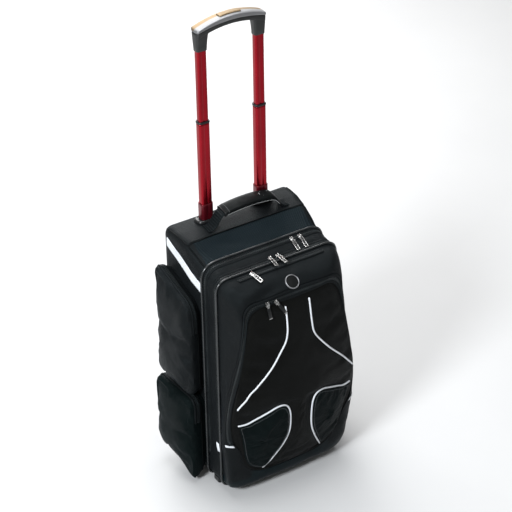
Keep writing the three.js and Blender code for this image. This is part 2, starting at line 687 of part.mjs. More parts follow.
// White tabs sewn over the zip ends on each side
for (const [name, side] of SIDES) {
  const { y0, y1, z0, z1 } = GUSSET_TAB;
  const gussetSide = (y, z) => {
    const t = (y - REAR_SEAM) / (FRONT_SEAM - REAR_SEAM);
    const x = THREE.MathUtils.lerp(SHELL_SECTIONS[0].half, FRONT_SECTION.half, t);
    return new THREE.Vector3(side * x, y, z);
  };
  const gussetTab = [z0, z1].map((z) => [y0, y1].map((y) => gussetSide(y, z)));
  add(`zip_tab_gusset_${name}`, overlay(gussetTab, TAPE, gussetInside), 'white');
  const j = side < 0 ? LEFT_ZIP_END : RIGHT_ZIP_END;
  const below = side < 0 ? j - 1 : j + 1;
  const { inset, reach, height } = POCKET_TAB;
  const pocketTab = [0, height].map((fall) => [inset + reach, inset].map((d) => {
    const here = profiles[j].at(profiles[j].total - d);
    const lower = profiles[below].at(profiles[below].total - d);
    return here.lerp(lower, (fall + 4 * GAP) / here.distanceTo(lower));
  }));
  add(`zip_tab_pocket_${name}`, overlay(pocketTab, TAPE, faceInside, 2 * GAP), 'white');
}

// Badge on the panel above the pocket: a dished disc inside a raised rim
const topMiddle = (TOP_LEFT + TOP_RIGHT) / 2;
const badgeCentre = profiles[topMiddle].at(BADGE.along);
const badgeAhead = profiles[topMiddle].at(BADGE.along + 1);
const panelRight = new THREE.Vector3(1, 0, 0);
const badgeUp = panelRight.clone().cross(badgeCentre.clone().sub(badgeAhead)).normalize();
const badgeProfile = [
  [0, 0],
  [BADGE.radius, 0],
  [BADGE.radius, BADGE.edge],
  [BADGE.radius - BADGE.rim / 2, BADGE.height],
  [BADGE.radius - BADGE.rim, BADGE.edge],
  [0, BADGE.dish],
].map(([r, h]) => new THREE.Vector2(r, h));
const disc = new THREE.LatheGeometry(badgeProfile, BADGE.sides).rotateX(Math.PI / 2);
const badge = add('badge', disc, 'silver');
place(badge, badgeCentre.clone().addScaledVector(badgeUp, GAP), panelRight, badgeUp);

// Zip pulls: a slider with a ladder-like drop lying on the cloth
function pullShape() {
  const { length, width, bar, thickness } = PULL;
  const outlineShape = new THREE.Shape();
  outlineShape.moveTo(0, -width / 2);
  outlineShape.lineTo(length - width / 2, -width / 2);
  outlineShape.absarc(length - width / 2, 0, width / 2, -Math.PI / 2, Math.PI / 2);
  outlineShape.lineTo(0, width / 2);
  const windowEdge = width / 2 - bar;
  const window = new THREE.Path();
  window.moveTo(bar, -windowEdge);
  window.lineTo(length - width, -windowEdge);
  window.lineTo(length - width, windowEdge);
  window.lineTo(bar, windowEdge);
  outlineShape.holes.push(window);
  const drop = new THREE.ExtrudeGeometry(outlineShape, {
    depth: thickness, bevelEnabled: false, curveSegments: 4,
  });
  const half = SLIDER.width / 2;
  const slider = block([-SLIDER.behind, SLIDER.ahead], [-half, half], [0, SLIDER.height]);
  return join(drop.translate(0, 0, thickness), slider);
}
for (const { name, x, y, z, tipX, tipY, tipZ } of PULLS) {
  const origin = new THREE.Vector3(x, y, z);
  const along = new THREE.Vector3(tipX, tipY, tipZ).sub(origin);
  const up = new THREE.Vector3(0, -1, 1);
  place(add(`pull_${name}`, pullShape(), 'silver'), origin, along, up);
}

// Carry handle: webbing sewn flat at both feet, with a stitched wrap round its middle
const carryRight = CARRY_PATH.slice(0, -1).reverse().map(({ x, lift }) => ({ x: -x, lift }));
const carryPath = [...CARRY_PATH, ...carryRight].map(({ x, lift }) => ({ x: CARRY.x + x, lift }));
const onTop = (x, y, lift) => new THREE.Vector3(x, y, shellSection(y).top + 2 * GAP + lift);
function carryStrap() {
  const row = (edge, rise) => carryPath.map(({ x, lift }, k) => {
    const before = carryPath[Math.max(k - 1, 0)];
    const after = carryPath[Math.min(k + 1, carryPath.length - 1)];
    const normal = new THREE.Vector2(before.lift - after.lift, after.x - before.x).normalize();
    return onTop(x + rise * normal.x, CARRY.y + (edge * CARRY.width) / 2, lift + rise * normal.y);
  });
  const grid = (rise) => [-1, 0, 1].map((edge) => row(edge, rise));
  return slab(grid(CARRY.thickness), grid(0));
}
function carryWrap() {
  const span = carryPath.filter(({ x }) => Math.abs(x - CARRY.x) < WRAP.half);
  const ring = (width, height, { x, lift }) => {
    const [w, h, reach] = [width / 2, height / 2, (height * WRAP.corner) / WRAP.height];
    const corners = [[-w, -h], [-w, h], [w, h], [w, -h]];
    return softLoop(corners.map(([u, v]) => ({ u, v, reach, steps: 2, run: 0 })))
      .map((p) => onTop(x, CARRY.y + p.x, lift + CARRY.thickness / 2 + p.y));
  };
  const outer = span.map((at) => ring(WRAP.width, WRAP.height, at));
  const room = 6 * GAP;
  const inner = span.map((at) => ring(CARRY.width + room, CARRY.thickness + room, at));
  return slab(outer, inner, { closed: true });
}
add('carry_strap', carryStrap(), 'zip');
add('carry_wrap', carryWrap(), 'vinyl');

// Telescopic handle
function roundedShape({ width, depth, corner }, inset = 0, Kind = THREE.Shape) {
  const [w, d, r] = [width / 2 - inset, depth / 2 - inset, Math.max(corner - inset, 0.5)];
  const shape = new Kind();
  shape.absarc(w - r, d - r, r, 0, Math.PI / 2);
  shape.absarc(-w + r, d - r, r, Math.PI / 2, Math.PI);
  shape.absarc(-w + r, -d + r, r, Math.PI, 1.5 * Math.PI);
  shape.absarc(w - r, -d + r, r, 1.5 * Math.PI, 2 * Math.PI);
  return shape;
}
// Straight length of a rounded section, hollow to fit a hole
function sleeve(section, hole, inset, [low, high]) {
  const shape = roundedShape(section);
  shape.holes.push(roundedShape(hole, inset, THREE.Path));
  const options = { depth: high - low, bevelEnabled: false, curveSegments: 1 };
  return new THREE.ExtrudeGeometry(shape, options).translate(0, 0, low);
}
const collarTop = MIDDLE_TUBE.top + GAP + COLLAR.height;
const stages = [
  ['outer_tube', OUTER_TUBE, OUTER_TUBE, TUBE_WALL, [OUTER_TUBE.bottom, OUTER_TUBE.top], 'plastic'],
  ['middle_tube', MIDDLE_TUBE, MIDDLE_TUBE, TUBE_WALL, [MIDDLE_TUBE.bottom, MIDDLE_TUBE.top], 'red'],
  ['collar', COLLAR, INNER_TUBE, -HANDLE.clearance, [MIDDLE_TUBE.top + GAP, collarTop], 'plastic'],
  ['inner_tube', INNER_TUBE, INNER_TUBE, TUBE_WALL, [INNER_TUBE.bottom, INNER_TUBE.top], 'red'],
  ['bezel', BEZEL, OUTER_TUBE, -GAP, [BEZEL.seat + GAP, BEZEL.seat + BEZEL.height], 'plastic'],
];
for (const [name, side] of SIDES) {
  for (const [stage, section, hole, inset, span, material] of stages) {
    const mesh = add(`${stage}_${name}`, sleeve(section, hole, inset, span), material);
    mesh.position.set(side * HANDLE.half, HANDLE.y, 0);
  }
}

// Grip: arched bar between two tapered sockets, with a bright cover and a push button
function archShape(half, low, high) {
  const dip = (GRIP.crown - GRIP.end) * (half / GRIP.half) ** 2;
  const [under, over] = [GRIP.crown + low, GRIP.crown + high];
  const shape = new THREE.Shape();
  shape.moveTo(-half, under - dip);
  shape.quadraticCurveTo(0, under + dip, half, under - dip);
  shape.lineTo(half, over - dip);
  shape.quadraticCurveTo(0, over + dip, -half, over - dip);
  return shape;
}
function arch(half, low, high, depth) {
  const options = { depth, bevelEnabled: false, curveSegments: GRIP_SEGMENTS };
  const bar = new THREE.ExtrudeGeometry(archShape(half, low, high), options);
  return bar.rotateX(Math.PI / 2).translate(0, HANDLE.y + depth / 2, 0);
}
function socket(side) {
  const ring = (section, inset, z) => roundedShape(section, inset).getPoints(1)
    .map((p) => new THREE.Vector3(side * HANDLE.half + p.x, HANDLE.y + p.y, z));
  const outer = SOCKET_SECTIONS.map((section) => ring(section, 0, section.z));
  const inner = SOCKET_SECTIONS.map((section) => ring(INNER_TUBE, -GAP, section.z));
  return slab(outer, inner, { closed: true });
}
function gripBody() {
  const bar = arch(GRIP.half, -GRIP.cover - GRIP.under, -GRIP.cover - GAP, GRIP.bodyDepth);
  const above = arch(GRIP.half, -GRIP.cover - GAP, PAST, GRIP.depth + PAST);
  return cut(join(bar, socket(-1), socket(1)), above);
}
const buttonSlot = block(
  [-BUTTON.half - BUTTON.room, BUTTON.half + BUTTON.room],
  [HANDLE.y - BUTTON.depth / 2 - BUTTON.room, HANDLE.y + BUTTON.depth / 2 + BUTTON.room],
  [GRIP.end, GRIP.crown + BUTTON.proud],
);
add('grip_body', gripBody(), 'plastic');
add('grip_cover', cut(arch(GRIP.half, -GRIP.cover, 0, GRIP.depth), buttonSlot), 'silver');
add('grip_button', arch(BUTTON.half, -BUTTON.skirt, BUTTON.proud, BUTTON.depth), 'champagne');

// Wheels in their housings, and the front feet
function wheel() {
  const { radius, width, bore } = WHEEL;
  const { shoulder, tread, sides } = TYRE;
  const profile = [
    [bore, -width / 2],
    [shoulder, -width / 2],
    [radius, -tread],
    [radius, tread],
    [shoulder, width / 2],
    [bore, width / 2],
    [bore, -width / 2],
  ].map(([r, h]) => new THREE.Vector2(r, h));
  return new THREE.LatheGeometry(profile, sides).rotateZ(Math.PI / 2);
}
function atAxle(side, { radius, sides }, length) {
  const drum = new THREE.CylinderGeometry(radius, radius, length, sides).rotateZ(Math.PI / 2);
  return drum.translate(side * WHEEL.x, WHEEL.y, WHEEL.z);
}
function housing(side) {
  const { front, back, bottom, top } = HOUSING;
  const body = block(housingSpan(side), [front, back], [bottom, top]);
  return join(cut(body, atAxle(side, WELL, WELL.width)), atAxle(side, AXLE, AXLE.length));
}
for (const [name, side] of SIDES) {
  add(`wheel_${name}`, wheel(), 'rubber').position.set(side * WHEEL.x, WHEEL.y, WHEEL.z);
  add(`wheel_housing_${name}`, housing(side), 'plastic');
  const sole = new THREE.ExtrudeGeometry(roundedShape(FOOT), {
    depth: FOOT.height, bevelEnabled: false, curveSegments: 1,
  });
  add(`foot_${name}`, sole, 'plastic').position.set(side * FOOT.x, FOOT.y, 0);
}

// The origin is under the middle of the whole bag
bag.position.y = -new THREE.Box3().setFromObject(bag).getCenter(new THREE.Vector3()).y;

export default bag;
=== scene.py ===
import math

import bmesh
import bpy
import numpy as np
from mathutils import Matrix, Vector, noise
from mathutils.bvhtree import BVHTree


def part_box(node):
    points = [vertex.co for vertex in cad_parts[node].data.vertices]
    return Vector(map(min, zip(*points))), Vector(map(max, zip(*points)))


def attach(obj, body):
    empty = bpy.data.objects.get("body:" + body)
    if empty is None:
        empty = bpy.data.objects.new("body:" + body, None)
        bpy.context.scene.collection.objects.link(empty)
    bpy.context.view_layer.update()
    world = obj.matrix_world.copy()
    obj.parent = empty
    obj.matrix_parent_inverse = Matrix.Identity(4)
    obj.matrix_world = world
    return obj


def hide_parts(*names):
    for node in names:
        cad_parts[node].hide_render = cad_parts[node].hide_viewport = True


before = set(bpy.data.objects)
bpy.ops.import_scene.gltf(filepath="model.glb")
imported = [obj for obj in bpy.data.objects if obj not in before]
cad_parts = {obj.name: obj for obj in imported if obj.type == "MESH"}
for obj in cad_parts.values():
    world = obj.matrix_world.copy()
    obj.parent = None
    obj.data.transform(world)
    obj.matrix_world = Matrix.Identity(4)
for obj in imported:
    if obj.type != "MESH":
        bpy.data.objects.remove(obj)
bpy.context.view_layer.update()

# Sizes in millimetres, front of the bag towards -Y, shared with the solids
MM = 0.001
GAP = 0.35
PADDED, CLOTH, PATCH, TAPE = 4.0, 2.4, 1.8, 1.4
BACK, REAR_SEAM, FRONT_SEAM = 110.0, -23.5, -74.0
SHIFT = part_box("main_shell")[1].y / MM - BACK
SIDES = (("left", -1), ("right", 1))

# Padded shell: depth, half-width, top, bottom, upper and lower corner
SHELL_SECTIONS = np.array([
    (REAR_SEAM, 142.5, 529, 12, 36, 24),
    (4, 144, 541.5, 10, 29, 22),
    (34, 145.6, 554, 10, 22, 20),
    (64, 147.2, 558, 10, 19, 20),
    (97, 149, 559, 10, 18, 20),
    (106, 148, 558, 13, 17, 22),
    (BACK, 142, 552, 22, 19, 24),
], float)
FRONT_SECTION = dict(half=140.5, top=516, bottom=11, upper=27, lower=24)
SIDE_MID, SIDE_REACH = 240.0, 45.0

# Rim and bulge of the front pocket: level, crown, drop, half-width
RIM = dict(top=470, bottom=50, top_half=103, mid_half=149, bottom_half=108, upper=36, lower=60)
RIM_CENTRE = 258.0
FACE_LEVELS = np.array([
    (50, 121, 6, 100), (100, 146, 24, 119), (160, 160, 32, 133), (240, 163, 26, 146),
    (320, 159, 19, 133), (400, 152, 14, 119), (470, 142.5, 12, 103),
], float)
SIDE_BELLY = np.array([(11, 2), (80, 14), (160, 20), (240, 10), (310, 0), (400, -8), (516, -2)], float)
BELLY_FROM, BELLY_CURVE, LOWER_ROUNDNESS = 100.0, 1.35, 2.8
ZIP_WIDTH, POCKET_ZIP, ZIP_SWEEP = 16.0, 19.0, 13.0
SLIP_ZIP = (9.0, 21.0)

# White trim on the right half of the front pocket, and the rest of the corner pocket's edge
UPPER_TRIM = [(28, 459), (28, 443), (29, 410), (33, 384), (43, 366), (73, 328), (109, 290), (141, 251)]
LOWER_TRIM = [
    (137, 203), (120, 203), (100, 212), (76, 222), (52, 232), (38, 230),
    (30.5, 214), (28.5, 190), (29, 165), (35, 138), (54, 98), (74, 64),
]
CORNER_EDGE = [(94, 72), (110, 90), (120, 125), (127, 165)]
CORNER = dict(x=78, z=150, puff=6)

# Side pockets on the left side, and their rings outwards: out, grow, scale, dent
SIDE_POCKETS = {
    "upper": dict(back=97, front=-13, back_top=479, front_top=430, back_bottom=236, bottom=228, sag=1,
                  swell=1.0, front_reach=28, crease=350, dent=0.7, crumple=(2.4, 46, 4.4)),
    "lower": dict(back=97, front=-17, back_top=211, front_top=207, back_bottom=60, bottom=34, sag=4,
                  swell=1.25, front_reach=24, crease=120, dent=0.2, crumple=(1.6, 50, 8.2)),
}
POCKET_RINGS = np.array([
    (0, 0, 1, 0), (5, 2.4, 1, 0), (10, 4, 1, 0), (18, 6.2, 1, 0), (26, 7, 1, 0), (30.5, 4.6, 1, 1),
    (33, 0, 1, 3.5), (33.8, 0, 0.94, 3.5), (34.6, 0, 0.86, 3.5), (35.2, 0, 0.76, 3.5), (35.7, 0, 0.64, 3.5),
    (36, 0, 0.52, 3.5), (36, 0, 0.4, 3.5), (36, 0, 0.28, 3.5), (36, 0, 0.16, 3.5), (36, 0, 0.06, 3.5),
], float)
CREASE_WIDTH = 12.0

BAND_WIDTH = 21.0
BAND_EDGE = np.array([(97, 519), (70, 506), (42, 492), (16, 477), (-19, 465)], float)

PIPING_RADIUS, TRIM_RADIUS = 2.5, 1.8
BADGE = dict(radius=15, rim=2.1, height=3.2, along=58)
GUSSET_TAB = dict(y0=-71, y1=-58, z0=99, z1=119, lean=4, lift=2.4)
POCKET_TAB = dict(inset=3, reach=17, lift=1.2)

# Zip pulls: slider place and tip of the drop
PULLS = {
    "main_1": ((62, -38, 525.8), (58, -65, 519)),
    "main_2": ((82, -38, 525.8), (78, -65, 519)),
    "front_1": ((-9, -67, 521.2), (-14, -93, 521.5)),
    "front_2": ((10, -67, 520.9), (9, -93, 521.2)),
    "slip": ((-66, -91, 517.6), (-61, -111, 511.5)),
    "pocket_1": ((-66, -139.8, 473), (-64, -145.6, 447)),
    "pocket_2": ((-46, -142.7, 473), (-32, -148.6, 450)),
}
PULL_OVER = 2.5

CARRY = dict(x=11, y=52, width=26, thickness=3, lift=0.7, foot=92)
WRAP = dict(half=60, over=14, width=32, height=11)
CARRY_PATH = np.array([(-96, 0), (-88, 0), (-79, 5), (-69, 18), (-59, 28), (-32, 33), (0, 34.5)], float)

HANDLE = dict(half=65.7, y=82.8)
TUBE_WALL = 1.3
TUBE_HOLE = (14.6, 12.0)
GRIP = dict(half=79.5, end=980, crown=996, cover=12, under=6, depth=28, body_depth=25)
BUTTON = dict(half=25, depth=15, proud=2.6, root=5.0)
WHEEL = dict(x=118, y=92, z=30, radius=30, width=22, bore=4.4)

# Places on the body ring
FINE = 5
LEFT_SEAM, LEFT_ZIP_END, TOP_LEFT = 5 * FINE, 7 * FINE, 17 * FINE
TOP_RIGHT, RIGHT_ZIP_END, RIGHT_SEAM = 21 * FINE, 31 * FINE, 33 * FINE


# Curves and rings

def unit(v):
    v = np.asarray(v, float)
    return v / np.maximum(np.linalg.norm(v, axis=-1, keepdims=True), 1e-12)


def smoothstep(x, low, high):
    t = np.clip((np.asarray(x, float) - low) / (high - low), 0, 1)
    return t * t * (3 - 2 * t)


def plateau(x, rise, top, edge, end):
    """Smooth rise to one and fall back to nothing."""
    return smoothstep(x, rise, top) * (1 - smoothstep(x, edge, end))


def run_lengths(points):
    """Distance of each point along a run of points."""
    return np.concatenate([[0], np.cumsum(np.linalg.norm(np.diff(points, axis=0), axis=1))])


def column(keys, values, at):
    """Smooth value of one column of a table at places between its rows."""
    x = np.clip(at, keys[0], keys[-1])
    last = len(keys) - 1
    i = np.clip(np.searchsorted(keys, x, side="right") - 1, 0, last - 1)
    k = np.arange(len(keys))
    low, high = np.maximum(k - 1, 0), np.minimum(k + 1, last)
    slope = (values[high] - values[low]) / (keys[high] - keys[low])
    step = keys[i + 1] - keys[i]
    t = (x - keys[i]) / step
    rise = t * t * (3 - 2 * t)
    bend = step * t * (1 - t) * ((1 - t) * slope[i] - t * slope[i + 1])
    return values[i] * (1 - rise) + values[i + 1] * rise + bend


def soft_loop(corners):
    """Closed outline through soft corners: u, v, reach, steps of the bend, points of the run after it."""
    points = []
    for i, (u, v, reach, steps, run) in enumerate(corners):
        here = np.array((u, v), float)
        following = corners[(i + 1) % len(corners)]
        before, after = np.array(corners[i - 1][:2], float), np.array(following[:2], float)
        start = here + unit(before - here) * reach
        end = here + unit(after - here) * reach
        t = np.linspace(0, 1, steps * FINE + 1)[:, None]
        points.extend((1 - t) ** 2 * start + 2 * t * (1 - t) * here + t * t * end)
        stop = after - unit(after - here) * following[2]
        count = (run + 1) * FINE
        points.extend(end + (stop - end) * k / count for k in range(1, count))
    return np.array(points)


def body_ring(top, bottom, upper, lower, half=0, top_half=None, mid_half=None, bottom_half=None):
    t, m, b = top_half or half, mid_half or half, bottom_half or half
    return soft_loop([
        (-b, bottom, lower, 4, 3),
        (-m, SIDE_MID, SIDE_REACH, 2, 2),
        (-t, top, upper, 4, 3),
        (t, top, upper, 4, 2),
        (m, SIDE_MID, SIDE_REACH, 2, 3),
        (b, bottom, lower, 4, 3),
    ])


def shell_section(y):
    keys, *columns = SHELL_SECTIONS.T
    return dict(zip(("half", "top", "bottom", "upper", "lower"), (np.interp(y, keys, c) for c in columns)))


def flat_ring(section, y):
    ring = body_ring(**section)
    return np.column_stack([ring[:, 0], np.full(len(ring), y), ring[:, 1]])


def shell_side(y, z):
    """Half-width of the shell's side at a depth and height."""
    side = body_ring(**shell_section(y))[:TOP_LEFT]
    return float(-np.interp(z, side[:, 1], side[:, 0]))


def resample(points, count=None, pitch=None):
    """Points at even steps along a run of points."""
    points = np.asarray(points, float)
    lengths = run_lengths(points)
    if count is None:
        count = max(int(round(lengths[-1] / pitch)) + 1, 2)
    at = np.linspace(0, lengths[-1], count)
    return np.column_stack([np.interp(at, lengths, c) for c in points.T])


def smooth_curve(points, pitch):
    """Centripetal Catmull-Rom curve through a few points, at even steps."""
    p = np.asarray(points, float)
    p = np.vstack([2 * p[0] - p[1], p, 2 * p[-1] - p[-2]])
    out = []
    for a, b, c, d in zip(p, p[1:], p[2:], p[3:]):
        knots = [0.0]
        for step in (b - a, c - b, d - c):
            knots.append(knots[-1] + np.linalg.norm(step) ** 0.5)
        t = np.linspace(knots[1], knots[2], 24, endpoint=False)[:, None]

        def mix(u, v, low, high):
            low, high = knots[low], knots[high]
            return (high - t) / (high - low) * u + (t - low) / (high - low) * v

        middle = mix(b, c, 1, 2)
        out.append(mix(mix(mix(a, b, 0, 1), middle, 0, 2), mix(middle, mix(c, d, 2, 3), 1, 3), 1, 2))
    out.append(p[-2][None])
    return resample(np.vstack(out), pitch=pitch)


def squircle(count, power):
    """Turns round a rounded section, and its two coordinates."""
    turn = np.linspace(0, 2 * np.pi, count, endpoint=False)
    return turn, *(np.sign(c) * np.abs(c) ** (2 / power) for c in (np.cos(turn), np.sin(turn)))


# Grids of points

def grid_normals(grid, inside, closed=False):
    along = np.roll(grid, -1, 1) - np.roll(grid, 1, 1) if closed else np.gradient(grid, axis=1)
    normal = unit(np.cross(along, np.gradient(grid, axis=0)))
    facing = np.sign(np.sum(normal * (grid - np.asarray(inside, float)), axis=-1, keepdims=True))
    return normal * np.where(facing == 0, 1, facing)


def crumple(grid, normal, depth, size, seed=0.0):
    """Low uneven swelling of cloth, from smooth noise."""
    lift = np.array([
        noise.noise(Vector((p[0] + seed, p[1], p[2] * 0.7)))
        + 0.4 * noise.noise(Vector((2.3 * p[0], 2.3 * p[1] + seed, 2.1 * p[2])))
        for p in grid.reshape(-1, 3) / size
    ])
    return grid + normal * (depth * lift).reshape(grid.shape[:2])[..., None]


def fold(grid, normal, rows):
    """Folds pressed into the cloth: two ends, depth and width of each."""
    for start, end, depth, width in rows:
        a, b = np.array(start, float), np.array(end, float)
        way = b - a
        t = np.clip(((grid - a) @ way) / (way @ way), 0, 1)
        away = np.linalg.norm(grid - (a + t[..., None] * way), axis=-1)
        taper = np.clip(np.sin(np.pi * np.clip(t, 0.04, 0.96)), 0, 1) ** 0.6
        press = depth * taper * np.exp(-((away / width) ** 2))
        lip = -0.45 * depth * taper * np.exp(-(((away - 1.7 * width) / width) ** 2))
        grid = grid - normal * (press + lip)[..., None]
    return grid


# Solids: points, faces and cloth coordinates

def ring_faces(rows, cols, wrap=False):
    """Quads between rings of points, and from the last ring to the first where wrapped."""
    faces = []
    for i in range(rows if wrap else rows - 1):
        here, there = i * cols, (i + 1) % rows * cols
        for j in range(cols):
            beside = (j + 1) % cols
            faces.append([here + j, here + beside, there + beside, there + j])
    return faces


def outward(points, faces, loops=None):
    """The same solid with its faces turned outwards."""
    points = np.asarray(points, float)
    a, b, c = np.array([(f[0], f[k], f[k + 1]) for f in faces for k in range(1, len(f) - 1)]).T
    if np.sum(points[a] * np.cross(points[b], points[c])) < 0:
        if loops is not None:
            ends = np.cumsum([len(f) for f in faces])
            loops = [loops[end - 1 - k] for f, end in zip(faces, ends) for k in range(len(f))]
        faces = [f[::-1] for f in faces]
    return points, faces, loops


def box_uv(points, face):
    """Flat coordinates of a face, seen along the axis that it faces most."""
    corners = np.asarray([points[k] for k in face], float)
    axis = int(np.argmax(np.abs(np.cross(corners[1] - corners[0], corners[2] - corners[0]))))
    return corners[:, [k for k in range(3) if k != axis]]


def joined(*solids):
    """Several solids as one."""
    points, faces, loops = [], [], []
    for p, f, uv in solids:
        base = sum(len(q) for q in points)
        faces.extend([[base + k for k in one] for one in f])
        loops.extend(uv if uv is not None else [c for one in f for c in box_uv(p, one)])
        points.append(np.asarray(p, float))
    return np.vstack(points), faces, loops


def slab(outer, inner, closed=False, capped=False, uv=None):
    """Closed solid between two matching grids."""
    rows, cols = outer.shape[:2]
    points = [*outer.reshape(-1, 3), *inner.reshape(-1, 3)]
    if uv is None:
        runs = np.linalg.norm(np.roll(outer, -1, 1) - outer, axis=-1).mean(0)
        drops = np.linalg.norm(np.diff(outer, axis=0), axis=-1).mean(1)
        u, v = (np.concatenate([[0], np.cumsum(steps)]) for steps in (runs, drops))
        flat = np.stack(np.broadcast_arrays(u[None, :], v[:, None]), axis=-1)
    else:
        flat = np.concatenate([uv, uv[:, :1]], axis=1)
    faces, loops = [], []

    def quad(*corners):
        faces.append([side * rows * cols + i * cols + j % cols for side, i, j in corners])
        loops.extend(flat[i, j] for _, i, j in corners)

    for j in range(cols if closed else cols - 1):
        for i in range(rows - 1):
            quad((0, i, j), (0, i, j + 1), (0, i + 1, j + 1), (0, i + 1, j))
            quad((1, i, j), (1, i + 1, j), (1, i + 1, j + 1), (1, i, j + 1))
        quad((0, 0, j + 1), (0, 0, j), (1, 0, j), (1, 0, j + 1))
        if not capped:
            quad((0, rows - 1, j), (0, rows - 1, j + 1), (1, rows - 1, j + 1), (1, rows - 1, j))
    if not closed:
        end = cols - 1
        for i in range(rows - 1):
            quad((0, i, 0), (0, i + 1, 0), (1, i + 1, 0), (1, i, 0))
            quad((0, i + 1, end), (0, i, end), (1, i, end), (1, i + 1, end))
    if capped:
        middle = flat[-1, :cols].mean(0)
        for side, grid in enumerate((outer, inner)):
            points.append(grid[-1].mean(0))
            base = (side + 1) * rows * cols - cols
            for j in range(cols):
                a, b = (j + 1, j) if side else (j, j + 1)
                faces.append([base + a % cols, base + b % cols, len(points) - 1])
                loops.extend([flat[-1, a], flat[-1, b], middle])
    return outward(points, faces, loops)


def capped_rings(grid):
    """Solid of rings closed by flat ends."""
    rows, cols = grid.shape[:2]
    ends = [list(range(cols))[::-1], list(range((rows - 1) * cols, rows * cols))]
    return outward(grid.reshape(-1, 3), ring_faces(rows, cols) + ends)


def tube(path, radius, sides=10, closed=False, up=(0, 1, 0)):
    """Round cord along a path, with rounded ends where it is open."""
    path = np.asarray(path, float)
    along = unit(np.roll(path, -1, 0) - np.roll(path, 1, 0) if closed else np.gradient(path, axis=0))
    side = np.cross(along, np.asarray(up, float))
    weak = np.linalg.norm(side, axis=1) < 1e-3
    side[weak] = np.cross(along[weak], (0.3, 0.2, 1.0))
    side = unit(side)
    over = unit(np.cross(side, along))
    turn = np.linspace(0, 2 * np.pi, sides, endpoint=False)
    grid = path[:, None] + radius * (
        np.cos(turn)[None, :, None] * side[:, None] + np.sin(turn)[None, :, None] * over[:, None])
    if not closed:
        first, last = (
            [path[k] + way * along[k] * radius * math.sin(a) + (grid[k] - path[k]) * math.cos(a)
             for a in (0.6, 1.1)]
            for k, way in ((0, -1), (-1, 1)))
        grid = np.array([*first[::-1], *grid, *last])
    rows = len(grid)
    points, faces, loops = list(grid.reshape(-1, 3)), ring_faces(rows, sides, closed), []
    lengths = run_lengths(grid.mean(1))
    for i in range(rows if closed else rows - 1):
        far = lengths[i + 1] if i + 1 < rows else lengths[i] + lengths[1]
        for a in turn:
            low, high = radius * a, radius * (a + turn[1])
            loops.extend([(low, lengths[i]), (high, lengths[i]), (high, far), (low, far)])
    if not closed:
        for row in (0, rows - 1):
            points.append(grid[row].mean(0))
            for j in range(sides):
                pair = [row * sides + j, row * sides + (j + 1) % sides]
                faces.append([*(pair if row else pair[::-1]), len(points) - 1])
                loops.extend([(0, 0), (radius, 0), (0, radius)])
    return outward(points, faces, loops)


def rounded_box(low, high, bevel):
    """Box with soft edges."""
    low, high = np.asarray(low, float), np.asarray(high, float)
    bm = bmesh.new()
    bmesh.ops.create_cube(bm, size=1.0)
    for v in bm.verts:
        v.co = Vector(low + (np.array(v.co) + 0.5) * (high - low))
    bmesh.ops.bevel(bm, geom=bm.edges[:], offset=bevel, segments=2, affect="EDGES", profile=0.5)
    bm.verts.index_update()
    points = np.array([v.co for v in bm.verts])
    faces = [[v.index for v in f.verts] for f in bm.faces]
    bm.free()
    return points, faces, None


def placed(solid, origin, along, up):
    """A solid made along +X with its top towards +Z, turned and put in place."""
    x = unit(along)
    y = unit(np.cross(up, x))
    points, faces, loops = solid
    return np.asarray(points) @ np.array([x, y, np.cross(x, y)]) + np.asarray(origin, float), faces, loops


def lathe(profile, sides):
    """Turned solid about X from a closed profile of (radius, x)."""
    turn = np.linspace(0, 2 * np.pi, sides, endpoint=False)
    points = np.array([(x, r * math.cos(a), r * math.sin(a)) for r, x in profile for a in turn])
    return outward(points, ring_faces(len(profile), sides, True))


STITCH_RINGS = ((-0.5, 0.4), (-0.3, 1), (0.3, 1), (0.5, 0.4))
STITCH_LIFT = 0.25


def stitches(path, normal, pitch=4.2, length=2.8, radius=0.45):
    """A row of short stitches lying along a path."""
    at = resample(np.hstack([path, np.broadcast_to(np.asarray(normal, float), np.shape(path))]), pitch=pitch)
    spots, ups = at[:, :3], unit(at[:, 3:])
    along = unit(np.gradient(spots, axis=0))
    turn = np.linspace(0, 2 * np.pi, 6, endpoint=False)[:, None]
    solids = []
    for p, a, n in zip(spots[:-1] + np.diff(spots, axis=0) / 2, along, ups):
        side = unit(np.cross(a, n))
        solids.append(capped_rings(np.array([
            p + a * length * s + n * STITCH_LIFT + radius * w * (np.cos(turn) * side + np.sin(turn) * n)
            for s, w in STITCH_RINGS
        ])))
    return joined(*solids)


# Pieces of the scene

def to_frame(points):
    return (np.asarray(points, float).reshape(-1, 3) + (0, SHIFT, 0)) * MM


def new_object(name, points, faces):
    mesh = bpy.data.meshes.new(name)
    mesh.from_pydata(to_frame(points).tolist(), [], faces)
    obj = bpy.data.objects.new(name, mesh)
    bpy.context.scene.collection.objects.link(obj)
    return obj, mesh


def put(name, solid, materials, body="bag", nodes=(), slot=None, slots=None, sharp=42):
    points, faces, loops = joined(solid)
    obj, mesh = new_object(name, points, faces)
    for m in materials if isinstance(materials, list) else [materials]:
        mesh.materials.append(m)
    mesh.uv_layers.new(name="cloth").data.foreach_set("uv", (np.asarray(loops, float) * MM).ravel())
    if slots is not None:
        mesh.polygons.foreach_set("material_index", np.asarray(slots, np.int32))
    mesh.validate()
    mesh.polygons.foreach_set("use_smooth", np.ones(len(mesh.polygons), bool))
    mesh.set_sharp_from_angle(angle=math.radians(sharp))
    mesh.update()
    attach(obj, body)
    if nodes:
        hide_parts(*nodes)
    return obj


def dress(node, finish, solid, materials, slot, **options):
    """A piece named after the node that it replaces."""
    return put(f"{node}_{finish}", solid, materials, nodes=[node], slot=slot, **options)


# Cloth simulation

